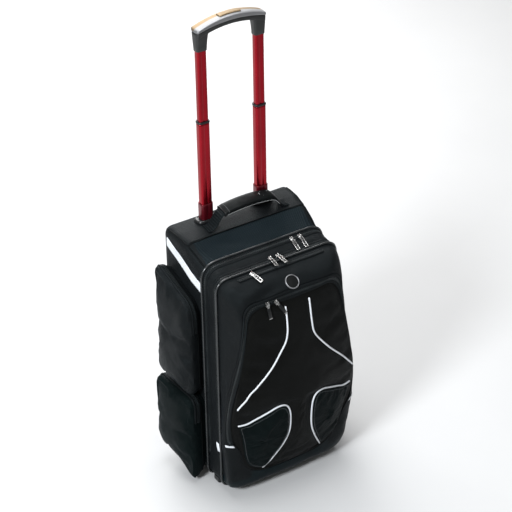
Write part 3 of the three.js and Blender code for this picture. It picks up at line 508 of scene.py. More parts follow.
SETTLE_FRAMES = 20
CLOTH_SETTINGS = dict(
    quality=6, mass=0.25, tension_stiffness=25, compression_stiffness=25, shear_stiffness=8,
    bending_stiffness=0.35, use_pressure=True, vertex_group_mass="held")


def settle(grid, inside, pinned, pressure, slack, cap):
    """Cloth grid swelled by air from inside, held at its pinned rows, moved by no more than the cap."""
    rows, cols = grid.shape[:2]
    points = np.vstack([grid.reshape(-1, 3), grid[-1].mean(0)])
    base = (rows - 1) * cols
    faces = ring_faces(rows, cols) + [[base + j, base + (j + 1) % cols, rows * cols] for j in range(cols)]
    a, b, c = points[faces[0][:3]]
    if np.dot(np.cross(b - a, c - a), a - np.asarray(inside, float)) < 0:
        faces = [f[::-1] for f in faces]
    obj, _ = new_object("settling", points, faces)
    group = obj.vertex_groups.new(name="held")
    group.add(np.flatnonzero(np.repeat(pinned, cols)).tolist(), 1.0, "REPLACE")
    cloth = obj.modifiers.new("cloth", "CLOTH")
    settings = dict(CLOTH_SETTINGS, uniform_pressure_force=pressure, shrink_min=-slack)
    for key, value in settings.items():
        setattr(cloth.settings, key, value)
    cloth.settings.effector_weights.gravity = 0
    cloth.collision_settings.use_collision = False
    cloth.point_cache.frame_start = 1
    cloth.point_cache.frame_end = SETTLE_FRAMES
    scene = bpy.context.scene
    for k in range(1, SETTLE_FRAMES + 1):
        scene.frame_set(k)
    result = obj.evaluated_get(bpy.context.evaluated_depsgraph_get()).to_mesh()
    co = np.empty(len(result.vertices) * 3)
    result.vertices.foreach_get("co", co)
    bpy.data.objects.remove(obj)
    scene.frame_set(1)
    change = co.reshape(-1, 3) / MM - (0, SHIFT, 0) - points
    size = np.linalg.norm(change, axis=1, keepdims=True)
    limited = cap * np.tanh(size / cap)
    return (points + change / np.maximum(size, 1e-9) * limited)[:rows * cols].reshape(grid.shape)


# Materials

class Look:
    """A material in the making: its nodes, its links and its shader."""

    def __init__(self, name):
        self.material = bpy.data.materials.new(name)
        self.material.use_nodes = True
        tree = self.material.node_tree
        self.nodes, self.links, self.shader = tree.nodes, tree.links, tree.nodes["Principled BSDF"]

    def join(self, node, inputs):
        for key, value in inputs.items():
            if isinstance(value, bpy.types.NodeSocket):
                self.links.new(value, node.inputs[key])
            else:
                node.inputs[key].default_value = value
        return node

    def add(self, kind, inputs):
        return self.join(self.nodes.new("ShaderNode" + kind), inputs)

    def maths(self, operation, a, b=0.0):
        node = self.add("Math", {0: a, 1: b})
        node.operation = operation
        return node.outputs[0]

    def mix(self, *shares):
        """Sum of values, each times its weight."""
        parts = [self.maths("MULTIPLY", value, weight) for value, weight in shares]
        total = parts[0]
        for part in parts[1:]:
            total = self.maths("ADD", total, part)
        return total

    def noise(self, scale, detail=3.0, rough=0.55, along=None):
        """Noise over the object, drawn out along one axis where given."""
        place = self.nodes.new("ShaderNodeTexCoord").outputs["Object"]
        if along is not None:
            stretch = [0.02 if k == along else 1.0 for k in range(3)]
            place = self.add("Mapping", {"Vector": place, "Scale": stretch}).outputs[0]
        inputs = {"Vector": place, "Scale": scale, "Detail": detail, "Roughness": rough}
        return self.add("TexNoise", inputs).outputs["Fac"]

    def ranged(self, value, low, high):
        return self.add("MapRange", {"Value": value, "To Min": low, "To Max": high}).outputs["Result"]

    def bump(self, height, distance, strength, **under):
        inputs = {"Strength": strength, "Distance": distance, "Height": height, **under}
        return self.add("Bump", inputs).outputs["Normal"]

    def ramp(self, value, dark, light, from_at, to_at):
        node = self.add("ValToRGB", {0: value})
        for element, tone, place in zip(node.color_ramp.elements, (dark, light), (from_at, to_at)):
            element.color = (*tone, 1)
            element.position = place
        return node.outputs[0]

    def finish(self, **inputs):
        self.join(self.shader, {key.replace("_", " "): value for key, value in inputs.items()})
        return self.material


def woven(name, dark, light, pitch=1.1, rib=0.0, rough=(0.38, 0.48), sheen=0.01, tint=(0.5, 0.68, 0.9),
          specular=0.06, depth=0.00018, gleam=(0.78, 0.93, 1.0)):
    """Cloth with a plain weave of the pitch in millimetres, and ribs of a wider pitch where given."""
    look = Look(name)
    spot = look.nodes.new("ShaderNodeUVMap")
    spot.uv_map = "cloth"
    across, down, _ = look.add("SeparateXYZ", {0: spot.outputs["UV"]}).outputs

    def wave(place, width):
        return look.maths("SINE", look.maths("MULTIPLY", place, 2 * math.pi / (width * MM)))

    height = look.maths("MULTIPLY", wave(across, pitch), wave(down, pitch))
    if rib:
        height = look.maths("ADD", look.maths("MULTIPLY", height, 0.35), wave(across, rib))
    broad, fine = look.noise(14.0), look.noise(420.0, 2.0)
    # The weave's and ribs' height also tints the base colour, lighter on raised threads and ribs and darker
    # in the hollows: painted shade of the cloth's relief, mixed with random tone from the noise
    blend = look.mix((broad, 0.62), (fine, 0.3), (height, 0.3 if rib else 0.13))
    return look.finish(
        Base_Color=look.ramp(blend, dark, light, 0.22, 0.86), Roughness=look.ranged(broad, *rough),
        Normal=look.bump(fine, 0.0002, 0.25, Normal=look.bump(height, depth, 0.55)),
        Specular_IOR_Level=specular, Specular_Tint=(*gleam, 1),
        Sheen_Weight=sheen, Sheen_Roughness=0.45, Sheen_Tint=(*tint, 1))


def coated(name, dark, light, rough, grain=900.0, grain_depth=0.00012, specular=0.4):
    """Moulded or coated surface with a fine grain and uneven gloss."""
    look = Look(name)
    broad = look.noise(30.0)
    return look.finish(
        Base_Color=look.ramp(broad, dark, light, 0.3, 0.7), Roughness=look.ranged(broad, *rough),
        Normal=look.bump(look.noise(grain, 2.0), grain_depth, 0.35), Specular_IOR_Level=specular)


def metal(name, dark, light, rough, axis, metallic=1.0, coat=0.0):
    """Metal brushed along one axis, under a clear coat where given."""
    look = Look(name)
    lines = look.noise(2600.0, 2.0, 0.5, along=axis)
    blend = look.mix((lines, 0.4), (look.noise(9.0), 0.6))
    return look.finish(
        Base_Color=look.ramp(blend, dark, light, 0.3, 0.7), Roughness=look.ranged(blend, *rough),
        Normal=look.bump(lines, 0.00004, 0.3), Metallic=metallic, Coat_Weight=coat, Coat_Roughness=0.12)


NYLON = woven("nylon", (0.0032, 0.0037, 0.0039), (0.0076, 0.0088, 0.0094))
# Front pocket cloth: a warmer black, darker than the panel's nylon as painted shade of the lower front
FRONT_CLOTH_PAINTED_SHADE = woven("front_pocket_nylon", (0.0028, 0.0029, 0.0026), (0.0062, 0.0064, 0.0058), specular=0.04,
                    gleam=(0.95, 0.97, 1.0))
# Darker teal cloth for the lower side pockets and the corner pockets: a teal tone of its own, darkened as
# painted shade of the bag's lower part
TEAL_CLOTH_PAINTED_SHADE = woven("pocket_nylon", (0.0017, 0.0031, 0.0031), (0.0042, 0.0072, 0.0072), specular=0.026)
RIBBED = woven("ribbed_nylon", (0.0028, 0.0052, 0.0066), (0.007, 0.0118, 0.0146), rib=4.9, depth=0.0005)
TAPE_CLOTH = woven("zip_tape", (0.0058, 0.0074, 0.008), (0.0126, 0.0162, 0.0172), pitch=0.9, sheen=0.0)
WEBBING = woven("webbing", (0.0026, 0.0034, 0.0037), (0.0075, 0.0094, 0.0102), pitch=1.6, rib=5.2,
                depth=0.0006)
# Near-black binding for the welts, seam cords and strap stitching: painted shade of the seam grooves
SEAM_SHADE_BINDING = woven("seam_binding", (0.001, 0.0012, 0.0012), (0.0026, 0.003, 0.0031), pitch=1.3, sheen=0.0)
WHITE = woven("reflective_cloth", (0.56, 0.58, 0.61), (0.7, 0.72, 0.75), pitch=0.8, sheen=0.0,
              rough=(0.4, 0.55), tint=(1, 1, 1), specular=0.4, depth=0.0001, gleam=(1, 1, 1))
VINYL = coated("piping_vinyl", (0.006, 0.0074, 0.008), (0.013, 0.0155, 0.0168), (0.22, 0.34), specular=0.6)
RAND = coated("rand_vinyl", (0.0016, 0.0046, 0.006), (0.0036, 0.0088, 0.011), (0.36, 0.5), grain=700,
              specular=0.1)
LEATHER = coated("wrap_leather", (0.0018, 0.0024, 0.0025), (0.0044, 0.0056, 0.0058), (0.3, 0.44), grain=520,
                 grain_depth=0.0004, specular=0.06)
COIL = coated("zip_coil", (0.008, 0.01, 0.0105), (0.02, 0.024, 0.0255), (0.28, 0.45))
PLASTIC = coated("grey_plastic", (0.015, 0.016, 0.016), (0.026, 0.0265, 0.026), (0.34, 0.48), grain=1500,
                 specular=0.25)
BLACK_PLASTIC = coated("black_plastic", (0.006, 0.0065, 0.007), (0.014, 0.015, 0.0155), (0.24, 0.4),
                       specular=0.28)
GLOSSY = coated("glossy_plastic", (0.006, 0.0065, 0.007), (0.013, 0.0135, 0.014), (0.2, 0.34), specular=0.3)
BADGE_FACE = coated("badge_face", (0.004, 0.0045, 0.0045), (0.009, 0.0095, 0.0095), (0.3, 0.42),
                    specular=0.12)
RUBBER = coated("rubber", (0.008, 0.008, 0.008), (0.018, 0.018, 0.018), (0.7, 0.9), grain=1100,
                grain_depth=0.0003)
SILVER = metal("satin_silver", (0.22, 0.222, 0.228), (0.32, 0.322, 0.33), (0.5, 0.62), axis=0)
CHROME = metal("pull_metal", (0.3, 0.3, 0.3), (0.54, 0.535, 0.52), (0.16, 0.32), axis=1)
CHAMPAGNE = metal("champagne", (0.2, 0.142, 0.082), (0.275, 0.205, 0.125), (0.5, 0.62), axis=0)
RED = metal("red_anodised", (0.24, 0.002, 0.008), (0.36, 0.004, 0.014), (0.16, 0.26), axis=2, metallic=0.9,
            coat=0.15)
DARK_RED = metal("dark_red_anodised", (0.09, 0.002, 0.007), (0.15, 0.004, 0.012), (0.26, 0.38), axis=2,
                 metallic=0.7, coat=0.4)
THREAD = coated("thread", (0.05, 0.055, 0.06), (0.1, 0.105, 0.11), (0.5, 0.7))
PALE_THREAD = coated("pale_thread", (0.3, 0.31, 0.31), (0.45, 0.46, 0.46), (0.5, 0.7))


# Main shell

SHELL_INSIDE = (0, 20, 270)
TOP_SEAM = 32.0
BACK_INSET = 0.95
WELL = dict(near=100, far=136, y=54, z=70)
RIBS = dict(half=128, z=480)
CUT_ABOVE = 500
SHELL_FOLDS = [
    ((-90, 20, 548), (-20, -8, 536), 1.6, 9),
    ((70, 22, 549), (20, -6, 537), 1.4, 9),
    ((-146, 60, 520), (-143, 0, 500), 1.2, 7),
    ((146, 60, 520), (143, 0, 500), 1.2, 7),
]


def main_shell():
    stations = np.unique(np.concatenate([
        np.linspace(REAR_SEAM, 97, 44),
        np.linspace(97, 106, 5),
        np.linspace(106, BACK, 4),
        TOP_SEAM + np.array((-2.4, -0.9, 0, 0.9, 2.4)),
    ]))
    grid = np.array([flat_ring(shell_section(y), y) for y in stations])
    normal = grid_normals(grid, SHELL_INSIDE, closed=True)
    ring = np.arange(grid.shape[1])
    on_top = plateau(ring, TOP_LEFT - 16, TOP_LEFT - 8, TOP_RIGHT + 8, TOP_RIGHT + 16)
    held = plateau(stations, REAR_SEAM, REAR_SEAM + 14, 92, 106)
    wavy = crumple(grid, normal * held[:, None, None], 1.3, 46, 3.1)
    groove = np.exp(-(((stations - TOP_SEAM) / 1.1) ** 2))[:, None] * on_top[None, :]
    sag = 3.0 * np.exp(-(((stations - 6) / 24) ** 2))[:, None] * on_top[None, :]
    wavy = wavy - normal * (1.5 * groove)[..., None] - np.array((0, 0, 1)) * sag[..., None]
    wavy = fold(wavy, normal, SHELL_FOLDS)
    inner = wavy - PADDED * normal

    # Lines of the cloth run along the edges of the openings for the tubes
    beside = np.abs(stations - HANDLE["y"]) < 22
    for edge in [side * HANDLE["half"] + way * TUBE_HOLE[0] for side in (-1, 1) for way in (-1, 1)]:
        line = TOP_LEFT + np.argmin(np.abs(wavy[beside][0, TOP_LEFT:TOP_RIGHT + 1, 0] - edge))
        wavy[beside, line, 0] = edge
        inner[beside, line, 0] = edge

    # A ring just inside the flat back's edge keeps its shading even
    closing = [c[-1].mean(0) + (c[-1] - c[-1].mean(0)) * BACK_INSET for c in (wavy, inner)]
    points, faces, loops = slab(
        np.vstack([wavy, closing[:1]]), np.vstack([inner, closing[1:]]), closed=True, capped=True)

    # Cloth is cut away at the wheels, behind the housings' edges, and round the tubes, under the bezels
    kept, kept_loops, slots, at = [], [], [], 0
    for f in faces:
        corners = points[f]
        x, y, z = corners.mean(0)
        x = abs(x)
        in_well = WELL["near"] < x < WELL["far"] and y > WELL["y"] and z < WELL["z"]
        at_tube = abs(x - HANDLE["half"]) < TUBE_HOLE[0] and abs(y - HANDLE["y"]) < TUBE_HOLE[1]
        if not in_well and not (at_tube and z > CUT_ABOVE):
            kept.append(f)
            on_back = corners[:, 1].min() > BACK - 0.05
            kept_loops.extend(corners[:, [0, 2]] if on_back else loops[at:at + len(f)])
            slots.append(1 if y < TOP_SEAM and x < RIBS["half"] and z > RIBS["z"] else 0)
        at += len(f)
    obj = dress("main_shell", "cloth", (points, kept, kept_loops), [NYLON, RIBBED], "nylon", slots=slots)
    return wavy


SHELL = main_shell()


# Welts and stitching on the shell

def surface_tree(grid):
    faces = ring_faces(*grid.shape[:2])
    return BVHTree.FromPolygons([Vector(p) for p in grid.reshape(-1, 3)], faces)


SHELL_TREE = surface_tree(SHELL)


def nearest(tree, points, lift=0.0, inside=SHELL_INSIDE):
    """Points laid on a surface, and its outward normals there."""
    spots, normals = [], []
    for p in points:
        spot, normal, _, _ = tree.find_nearest(Vector(p))
        if normal.dot(spot - Vector(inside)) < 0:
            normal = -normal
        spots.append(np.array(spot + lift * normal))
        normals.append(np.array(normal))
    return np.array(spots), np.array(normals)


def welt(name, guide, radius):
    path, _ = nearest(SHELL_TREE, resample(guide, pitch=5), 0.2)
    # The welt's near-black binding stands in for the seam's groove: painted shade
    put(name, tube(path, radius, 8), SEAM_SHADE_BINDING)


def top_edge(side, y):
    """Place on the rounded edge between the shell's top and its side."""
    section = shell_section(y)
    turn = 0.32 * section["upper"]
    return side * (section["half"] - turn), y, section["top"] - turn


welt("top_seam_welt", [
    top_edge(-1, TOP_SEAM), (-100, TOP_SEAM, 554), (100, TOP_SEAM, 554), top_edge(1, TOP_SEAM)], 1.3)
for label, side in SIDES:
    welt(f"top_edge_welt_{label}", [top_edge(side, y) for y in (104, 90, 64, 32, 0, REAR_SEAM + 3)], 1.5)


def back_seam(label, inset, low=96, corner=10, bend=3):
    """A row of stitching round the flat back, inside its rounded edge."""
    section = shell_section(BACK)
    half, top = section["half"] - inset, section["top"] - inset
    left = [(-half, low), (-half, top - corner), (-half + bend, top - bend), (-half + corner, top)]
    loop = left + [(-x, z) for x, z in left[::-1]]
    path = resample([(x, BACK, z) for x, z in loop], pitch=5)
    put(f"back_stitch_{label}", stitches(path, (0, 1, 0)), THREAD)


back_seam("outer", 15)
back_seam("inner", 21)


# Gusset, its zips and the piping loops

GUSSET_INSIDE = (0, -48, 262)
REAR_RING = flat_ring(shell_section(REAR_SEAM), REAR_SEAM)
FRONT_RING = flat_ring(FRONT_SECTION, FRONT_SEAM)
RING = np.arange(len(REAR_RING))

# Heights of a zip's tape across it: a rolled lip along each edge
ZIP_ACROSS = np.array([0, 0.08, 0.2, 0.3, 0.35, 0.5, 0.65, 0.7, 0.8, 0.92, 1.0])[:, None, None]
ZIP_HEIGHTS = np.array([0.0, 1.1, 1.5, 0.9, -0.9, -0.6, -0.9, 0.9, 1.5, 1.1, 0.0])[:, None, None]
LIP_WIDTH, TOOTHED_WIDTH, TOOTH_PITCH = 8, 6.5, 2.1
TOOTH = dict(stagger=0.9, length=1.3, width=4.6, top_length=0.9, top_width=3.8, height=1.3)
TOOTH_CORNERS = np.array([(-1, -1), (1, -1), (1, 1), (-1, 1)]) * 0.5


def between(low, high):
    """Places on the ring from one to another."""
    return RING[(RING >= low) & (RING <= high)]


def gusset_row(y):
    t = ((np.broadcast_to(y, len(RING)) - REAR_SEAM) / (FRONT_SEAM - REAR_SEAM))[:, None]
    return REAR_RING * (1 - t) + FRONT_RING * t


def put_zip(node, edge_a, edge_b, normal):
    """Zip: tape with rolled lips along both edges and a coil of teeth down the middle."""
    middle, width = (edge_a + edge_b) / 2, np.linalg.norm(edge_b - edge_a, axis=1)
    base = edge_a[None] * (1 - ZIP_ACROSS) + edge_b[None] * ZIP_ACROSS
    full = np.clip(width / LIP_WIDTH, 0, 1)[None, :, None]
    tape = slab(base + normal[None] * ZIP_HEIGHTS * full, base - normal[None] * TAPE)
    coil = np.hstack([middle - normal * 0.3, normal, edge_b - edge_a])[width > TOOTHED_WIDTH]
    spots = resample(coil, pitch=TOOTH_PITCH)
    teeth = []
    for k, (p, a) in enumerate(zip(spots, unit(np.gradient(spots[:, :3], axis=0)))):
        n, w = unit(p[3:6]), unit(p[6:9])
        foot = p[:3] + w * (TOOTH["stagger"] if k % 2 else -TOOTH["stagger"])
        low = [foot + a * u * TOOTH["length"] + w * v * TOOTH["width"] for u, v in TOOTH_CORNERS]
        high = [foot + a * u * TOOTH["top_length"] + w * v * TOOTH["top_width"] + n * TOOTH["height"]
                for u, v in TOOTH_CORNERS]
        teeth.append(capped_rings(np.array([low, high])))
    teeth = joined(*teeth)
    slots = []
    for f in tape[1]:
        away = np.linalg.norm(middle - tape[0][f].mean(0), axis=1)
        near = np.argmin(away)
        slots.append(0 if away[near] < 0.22 * width[near] else 2)
    slots += [1] * len(teeth[1])
    dress(node, "tape", joined(tape, teeth), [TAPE_CLOTH, COIL, NYLON], "zip", slots=slots)


def gusset():
    main_end = REAR_SEAM - GAP - ZIP_WIDTH
    front_end = FRONT_SEAM + GAP + ZIP_WIDTH
    ease = plateau(RING, LEFT_SEAM - 2, LEFT_SEAM + 1, RIGHT_SEAM - 1, RIGHT_SEAM + 2)
    first = (REAR_SEAM - GAP) * (1 - ease) + (main_end - GAP) * ease
    last = (FRONT_SEAM + GAP) * (1 - ease) + (front_end + GAP) * ease
    share = np.linspace(0, 1, 9)
    grid = np.array([gusset_row(first * (1 - s) + last * s) for s in share])
    normal = grid_normals(grid, GUSSET_INSIDE, closed=True)
    crown = (4 * share * (1 - share))[:, None, None]
    grid = crumple(grid + normal * 0.9 * crown, normal * crown, 1.6, 30, 7.7)
    dress("gusset", "cloth", slab(grid, grid - CLOTH * normal, closed=True), NYLON, "nylon")
    inner = between(LEFT_SEAM - 1, RIGHT_SEAM + 1)
    for node, start, end in (
        ("zip_main", REAR_SEAM - GAP, first + GAP),
        ("zip_front", last - GAP, FRONT_SEAM + GAP),
    ):
        a, b = gusset_row(start)[inner], gusset_row(end)[inner]
        put_zip(node, a, b, grid_normals(np.array([a, b]), GUSSET_INSIDE)[0])


def piping(node, ring, y):
    out = unit(np.cross(np.roll(ring, -1, 0) - np.roll(ring, 1, 0), (0, 1, 0)))
    out *= np.sign(np.sum(out * (ring - (0, y, 265)), axis=1, keepdims=True))
    path = ring + out * (PIPING_RADIUS + 0.1)
    dress(node, "cord", tube(path, PIPING_RADIUS, 12, closed=True), VINYL, "vinyl")


gusset()
piping("piping_rear", REAR_RING, REAR_SEAM)
piping("piping_front", FRONT_RING, FRONT_SEAM)


# Front panel and rand

FACE_INSIDE = np.array((0, -40, RIM_CENTRE))
PANEL_FOLDS = [
    ((-100, -135, 489), (-30, -128, 499), 2.6, 9),
    ((-60, -120, 505), (40, -135, 490), 1.4, 12),
    ((-136, -84, 420), (-118, -122, 380), 2.2, 10),
    ((-140, -86, 300), (-134, -112, 250), 2.4, 9),
    ((-146, -96, 190), (-140, -120, 230), 2.0, 8),
    ((-143, -88, 120), (-146, -104, 96), 2.2, 7),
    ((136, -84, 430), (118, -122, 400), 2.0, 10),
    ((144, -92, 260), (142, -116, 210), 2.2, 9),
    ((147, -90, 130), (143, -112, 80), 2.4, 8),
]
RAND_CLOTH = dict(x=96, z=44)


def face_y(x, z):
    levels = FACE_LEVELS.T
    crown, drop, half = (column(levels[0], values, z) for values in levels[1:])
    return -(crown - drop * (x / half) ** 2)


RIM_LOOP = body_ring(**RIM)


def face_ring(scale):
    """The pocket's rim drawn in towards its middle, on the bulge of the face."""
    x, z = scale * RIM_LOOP[:, 0], RIM_CENTRE + scale * (RIM_LOOP[:, 1] - RIM_CENTRE)
    return np.column_stack([x, face_y(x, z), z])


def panel_profiles(steps=48):
    """Profiles from the front piping out and round to the pocket's rim, a row for each step."""
    base = FRONT_RING
    rim = np.column_stack([RIM_LOOP[:, 0], face_y(*RIM_LOOP.T), RIM_LOOP[:, 1]])
    height = smoothstep(base[:, 2], 20, 140)
    power = (2 / (LOWER_ROUNDNESS * (1 - height) + 2 * height))[None, :]
    side = smoothstep(np.abs(base[:, 0]), BELLY_FROM, FRONT_SECTION["half"])
    belly = side * column(*SIDE_BELLY.T, base[:, 2])
    turn = (np.linspace(0, 1, steps + 1) * np.pi / 2)[:, None]
    c, s = np.cos(turn).clip(0) ** power, np.sin(turn) ** power
    grid = rim[None] + (base - rim)[None] * c[..., None]
    grid[..., 1] = base[None, :, 1] + (rim - base)[None, :, 1] * s
    grid[..., 0] += np.sign(base[:, 0])[None] * belly[None] * np.sin(2 * turn).clip(0) ** BELLY_CURVE
    return grid


PROFILES = panel_profiles()
STEP_LENGTHS = np.array([run_lengths(PROFILES[:, j]) for j in RING]).T
TOTALS = STEP_LENGTHS[-1]


def along_profile(distances):
    """Points at a distance along each profile; a negative one is measured back from the rim."""
    distances = np.broadcast_to(distances, len(RING))
    at = np.where(distances < 0, TOTALS + distances, distances)
    return np.array([[np.interp(at[j], STEP_LENGTHS[:, j], c) for c in PROFILES[:, j].T] for j in RING])


# The front-pocket zip sweeps back to its two ends
SWEEP = 0.6 + ZIP_SWEEP * np.maximum(
    smoothstep(-RING, -LEFT_ZIP_END - 24, -LEFT_ZIP_END) * smoothstep(RING, LEFT_ZIP_END - 14, LEFT_ZIP_END),
    smoothstep(RING, RIGHT_ZIP_END - 24, RIGHT_ZIP_END)
    * smoothstep(-RING, -RIGHT_ZIP_END - 14, -RIGHT_ZIP_END))
ZIP_EASE = (
    smoothstep(RING, LEFT_ZIP_END - 3, LEFT_ZIP_END) * smoothstep(-RING, -RIGHT_ZIP_END - 3, -RIGHT_ZIP_END))


def panel_pieces():
    ends = TOTALS - GAP - SWEEP - ZIP_EASE * (POCKET_ZIP + GAP)
    share = np.concatenate([[0, 0.015, 0.04], np.linspace(0.08, 0.92, 24), [0.955, 0.98, 1]])
    grid = np.array([along_profile(GAP + s * (ends - GAP)) for s in share])
    normal = grid_normals(grid, FACE_INSIDE, closed=True)
    middle = np.sin(np.pi * share)[:, None, None]
    grid = crumple(grid, normal * middle ** 0.7, 2.0, 44, 1.3)
    grid = fold(grid, normal, PANEL_FOLDS)
    lip = -1.6 * np.exp(-((1 - share) / 0.018))[:, None, None]
    grid = grid + normal * lip * ZIP_EASE[None, :, None]
    inner = grid - CLOTH * normal
    panel = between(LEFT_SEAM, RIGHT_SEAM)
    rand = np.concatenate([RING[RING >= RIGHT_SEAM], RING[RING <= LEFT_SEAM]])
    dress("front_panel", "cloth", slab(grid[:, panel], inner[:, panel]), NYLON, "nylon")
    solid = slab(grid[:, rand], inner[:, rand])
    middles = [solid[0][f].mean(0) for f in solid[1]]
    slots = [1 if z > RAND_CLOTH["z"] and abs(x) > RAND_CLOTH["x"] else 0 for x, _, z in middles]
    dress("bottom_rand", "vinyl", solid, [RAND, NYLON], "vinyl", slots=slots)
    return grid


PANEL_TREE = surface_tree(panel_pieces())


# Front pocket and its zip

POCKET_FOLDS = [
    ((-112, -140, 410), (-70, -152, 380), 2.4, 10),
    ((-122, -142, 350), (-84, -155, 330), 2.8, 9),
    ((-136, -138, 300), (-100, -152, 275), 2.6, 8),
    ((-118, -135, 172), (-96, -140, 150), 1.6, 8),
    ((112, -140, 400), (80, -152, 372), 1.6, 10),
    ((134, -140, 300), (104, -152, 282), 1.8, 9),
    ((-20, -164, 300), (24, -164, 220), 1.0, 24),
]


def pocket_zip():
    inner = between(LEFT_ZIP_END - 2, RIGHT_ZIP_END + 2)
    rows = (-(POCKET_ZIP * ZIP_EASE + GAP + SWEEP), -POCKET_ZIP * ZIP_EASE / 2 - SWEEP, -GAP - SWEEP)
    grid = np.array([along_profile(row)[inner] for row in rows])
    put_zip("zip_pocket", grid[0], grid[2], grid_normals(grid, FACE_INSIDE)[1])


def front_pocket():
    scales = np.concatenate([[1, 0.994, 0.985, 0.97, 0.95], np.linspace(0.92, 0.06, 36)])
    flange = [along_profile(-SWEEP * t) for t in (1, 0.75, 0.5, 0.25)]
    grid = np.array(flange + [face_ring(s) for s in scales])
    scales = np.concatenate([[1.0] * len(flange), scales])
    cloth = settle(grid, FACE_INSIDE, scales > 0.98, pressure=2.2, slack=0.012, cap=4.0)
    normal = grid_normals(cloth, FACE_INSIDE, closed=True)
    free = (1 - smoothstep(scales, 0.86, 1.0))[:, None, None]
    cloth = crumple(cloth, normal * free, 1.5, 60, 5.5)
    cloth = fold(cloth, normal, POCKET_FOLDS)
    cloth = cloth - normal * (1.8 * np.exp(-(np.arange(len(scales)) / 2.0))[:, None, None])
    solid = slab(cloth, cloth - CLOTH * normal, closed=True, capped=True, uv=cloth[..., [0, 2]])
    # The pocket's darker cloth is painted shade of the lower front, over a warmer black
    obj = dress("front_pocket", "cloth", solid, FRONT_CLOTH_PAINTED_SHADE, "nylon")
    return cloth


pocket_zip()
FACE_TREE = surface_tree(front_pocket())


def on_face(x, z, proud=0.0):
    """Points on the settled face of the pocket."""
    out = []
    for u, v in zip(x, z):
        spot, _, _, _ = FACE_TREE.ray_cast(Vector((u, -300, v)), Vector((0, 1, 0)))
        y = spot.y if spot else float(face_y(u, v))
        out.append((u, y - proud, v))
    return np.array(out)


# Corner pockets and white trim

def corner_pocket(node, label, side):
    edge = np.array(LOWER_TRIM + CORNER_EDGE + LOWER_TRIM[:1], float)
    middle = np.array((CORNER["x"], CORNER["z"]))
    loop = resample(smooth_curve(edge, 3.0), count=97)[:-1]
    scales = np.concatenate([[1, 0.985, 0.965], np.linspace(0.93, 0.08, 14)])
    rows = []
    for s in scales:
        x, z = (middle + s * (loop - middle)).T
        rows.append(on_face(side * x, z, 2 * GAP + 0.6 + PATCH + CORNER["puff"] * (1 - s ** 2) * 0.8))
    inside = np.array((side * CORNER["x"], 0, CORNER["z"]))
    grid = settle(np.array(rows), inside, scales > 0.96, pressure=2.0, slack=0.02, cap=3.0)
    normal = grid_normals(grid, inside, closed=True)
    free = (1 - smoothstep(scales, 0.8, 1.0))[:, None, None]
    grid = crumple(grid, normal * free, 1.2, 34, 2.0 + side)
    grid = grid - normal * (1.0 * np.exp(-((1 - scales) / 0.012)))[:, None, None]
    solid = slab(grid, grid - PATCH * normal, closed=True, capped=True, uv=grid[..., [0, 2]])
    # The corner pocket's darker teal cloth carries painted shade of the bag's lower front
    obj = dress(node, "cloth", solid, TEAL_CLOTH_PAINTED_SHADE, "nylon")
    seam, up = (np.vstack([rows[3], rows[3][:1]]) for rows in (grid, normal))
    put(f"corner_stitch_{label}", stitches(seam, up), THREAD)


def white_trim(node, side, places, proud):
    """White cord along a curve on the face."""
    curve = smooth_curve(places, 4.0)
    path = on_face(side * curve[:, 0], curve[:, 1], proud)
    for _ in range(6):
        path[1:-1] = (path[:-2] + 2 * path[1:-1] + path[2:]) / 4
    dress(node, "cord", tube(path, TRIM_RADIUS, 12), WHITE, "white")


def outside_corner():
    """The corner pocket's upper edge, moved out by the trim's width."""
    table = np.array(LOWER_TRIM, float)
    way = np.gradient(table, axis=0)
    return table - unit(np.column_stack([-way[:, 1], way[:, 0]])) * (TRIM_RADIUS + 1.0)


for label, side in SIDES:
    corner_pocket(f"corner_pocket_{label}", label, side)
    white_trim(f"trim_upper_{label}", side, UPPER_TRIM, 1.2)
    white_trim(f"trim_lower_{label}", side, outside_corner(), 1.3)


# Side pockets

SIDE_FOLDS = {
    "upper": [
        ((-178, 6, 300), (-178, 60, 262), 4.2, 9),
        ((-178, -2, 268), (-176, 44, 240), 3.6, 7),
        ((-178, 88, 330), (-178, 40, 300), 3.0, 10),
        ((-178, 92, 262), (-178, 54, 250), 2.6, 8),
        ((-176, 12, 372), (-178, 30, 330), 2.2, 8),
    ],
    "lower": [
        ((-184, -8, 60), (-186, 40, 84), 3.0, 9),
        ((-184, 96, 60), (-186, 56, 90), 2.6, 9),
        ((-184, 84, 168), (-186, 50, 140), 1.8, 10),
        ((-180, -10, 30), (-184, 30, 44), 2.4, 7),
    ],
}
ZIP_SPAN = slice(6 * FINE, 15 * FINE)
MIRROR = np.array((-1, 1, 1))


def pocket_ring(spec, out, grow, scale, dent):
    """Ring of the left pocket."""
    far, near = spec["back"] + grow * 0.5, spec["front"] - grow
    loop = soft_loop([
        (far, spec["back_bottom"], 18, 2, 3),
        (far, spec["back_top"] + grow, 16, 2, 2),
        (near, spec["front_top"] + grow, spec["front_reach"], 3, 3),
        (near, spec["bottom"] - grow * spec["sag"], 18, 2, 2),
    ])
    crease = spec["crease"]
    middle = np.array(((spec["back"] + spec["front"]) / 2, crease))
    ring = []
    for y, z in middle + (loop - middle) * scale:
        press = spec["dent"] * dent * math.exp(-(((z - crease) / CREASE_WIDTH) ** 2))
        height = crease + (z - crease) * (0.5 if out else 1.0)
        ring.append((-(shell_side(y, height) + GAP + 0.8 + out * spec["swell"] - press), y, z))
    return np.array(ring)


def side_pocket(level, spec):
    """Left pocket's settled grid and normals."""
    out = POCKET_RINGS[:, 0]
    grid = np.array([pocket_ring(spec, *row) for row in POCKET_RINGS])
    inside = np.array((-FRONT_SECTION["half"], (spec["back"] + spec["front"]) / 2, spec["crease"]))
    grid = settle(grid, inside, out < 27, pressure=3.0, slack=0.03, cap=5.0)
    normal = grid_normals(grid, inside, closed=True)
    free = smoothstep(out, 24, 33)[:, None, None]
    grid = crumple(grid, normal * free, *spec["crumple"])
    grid = fold(grid, normal * (0.25 + 0.75 * free), SIDE_FOLDS[level])
    return grid, grid_normals(grid, inside, closed=True)


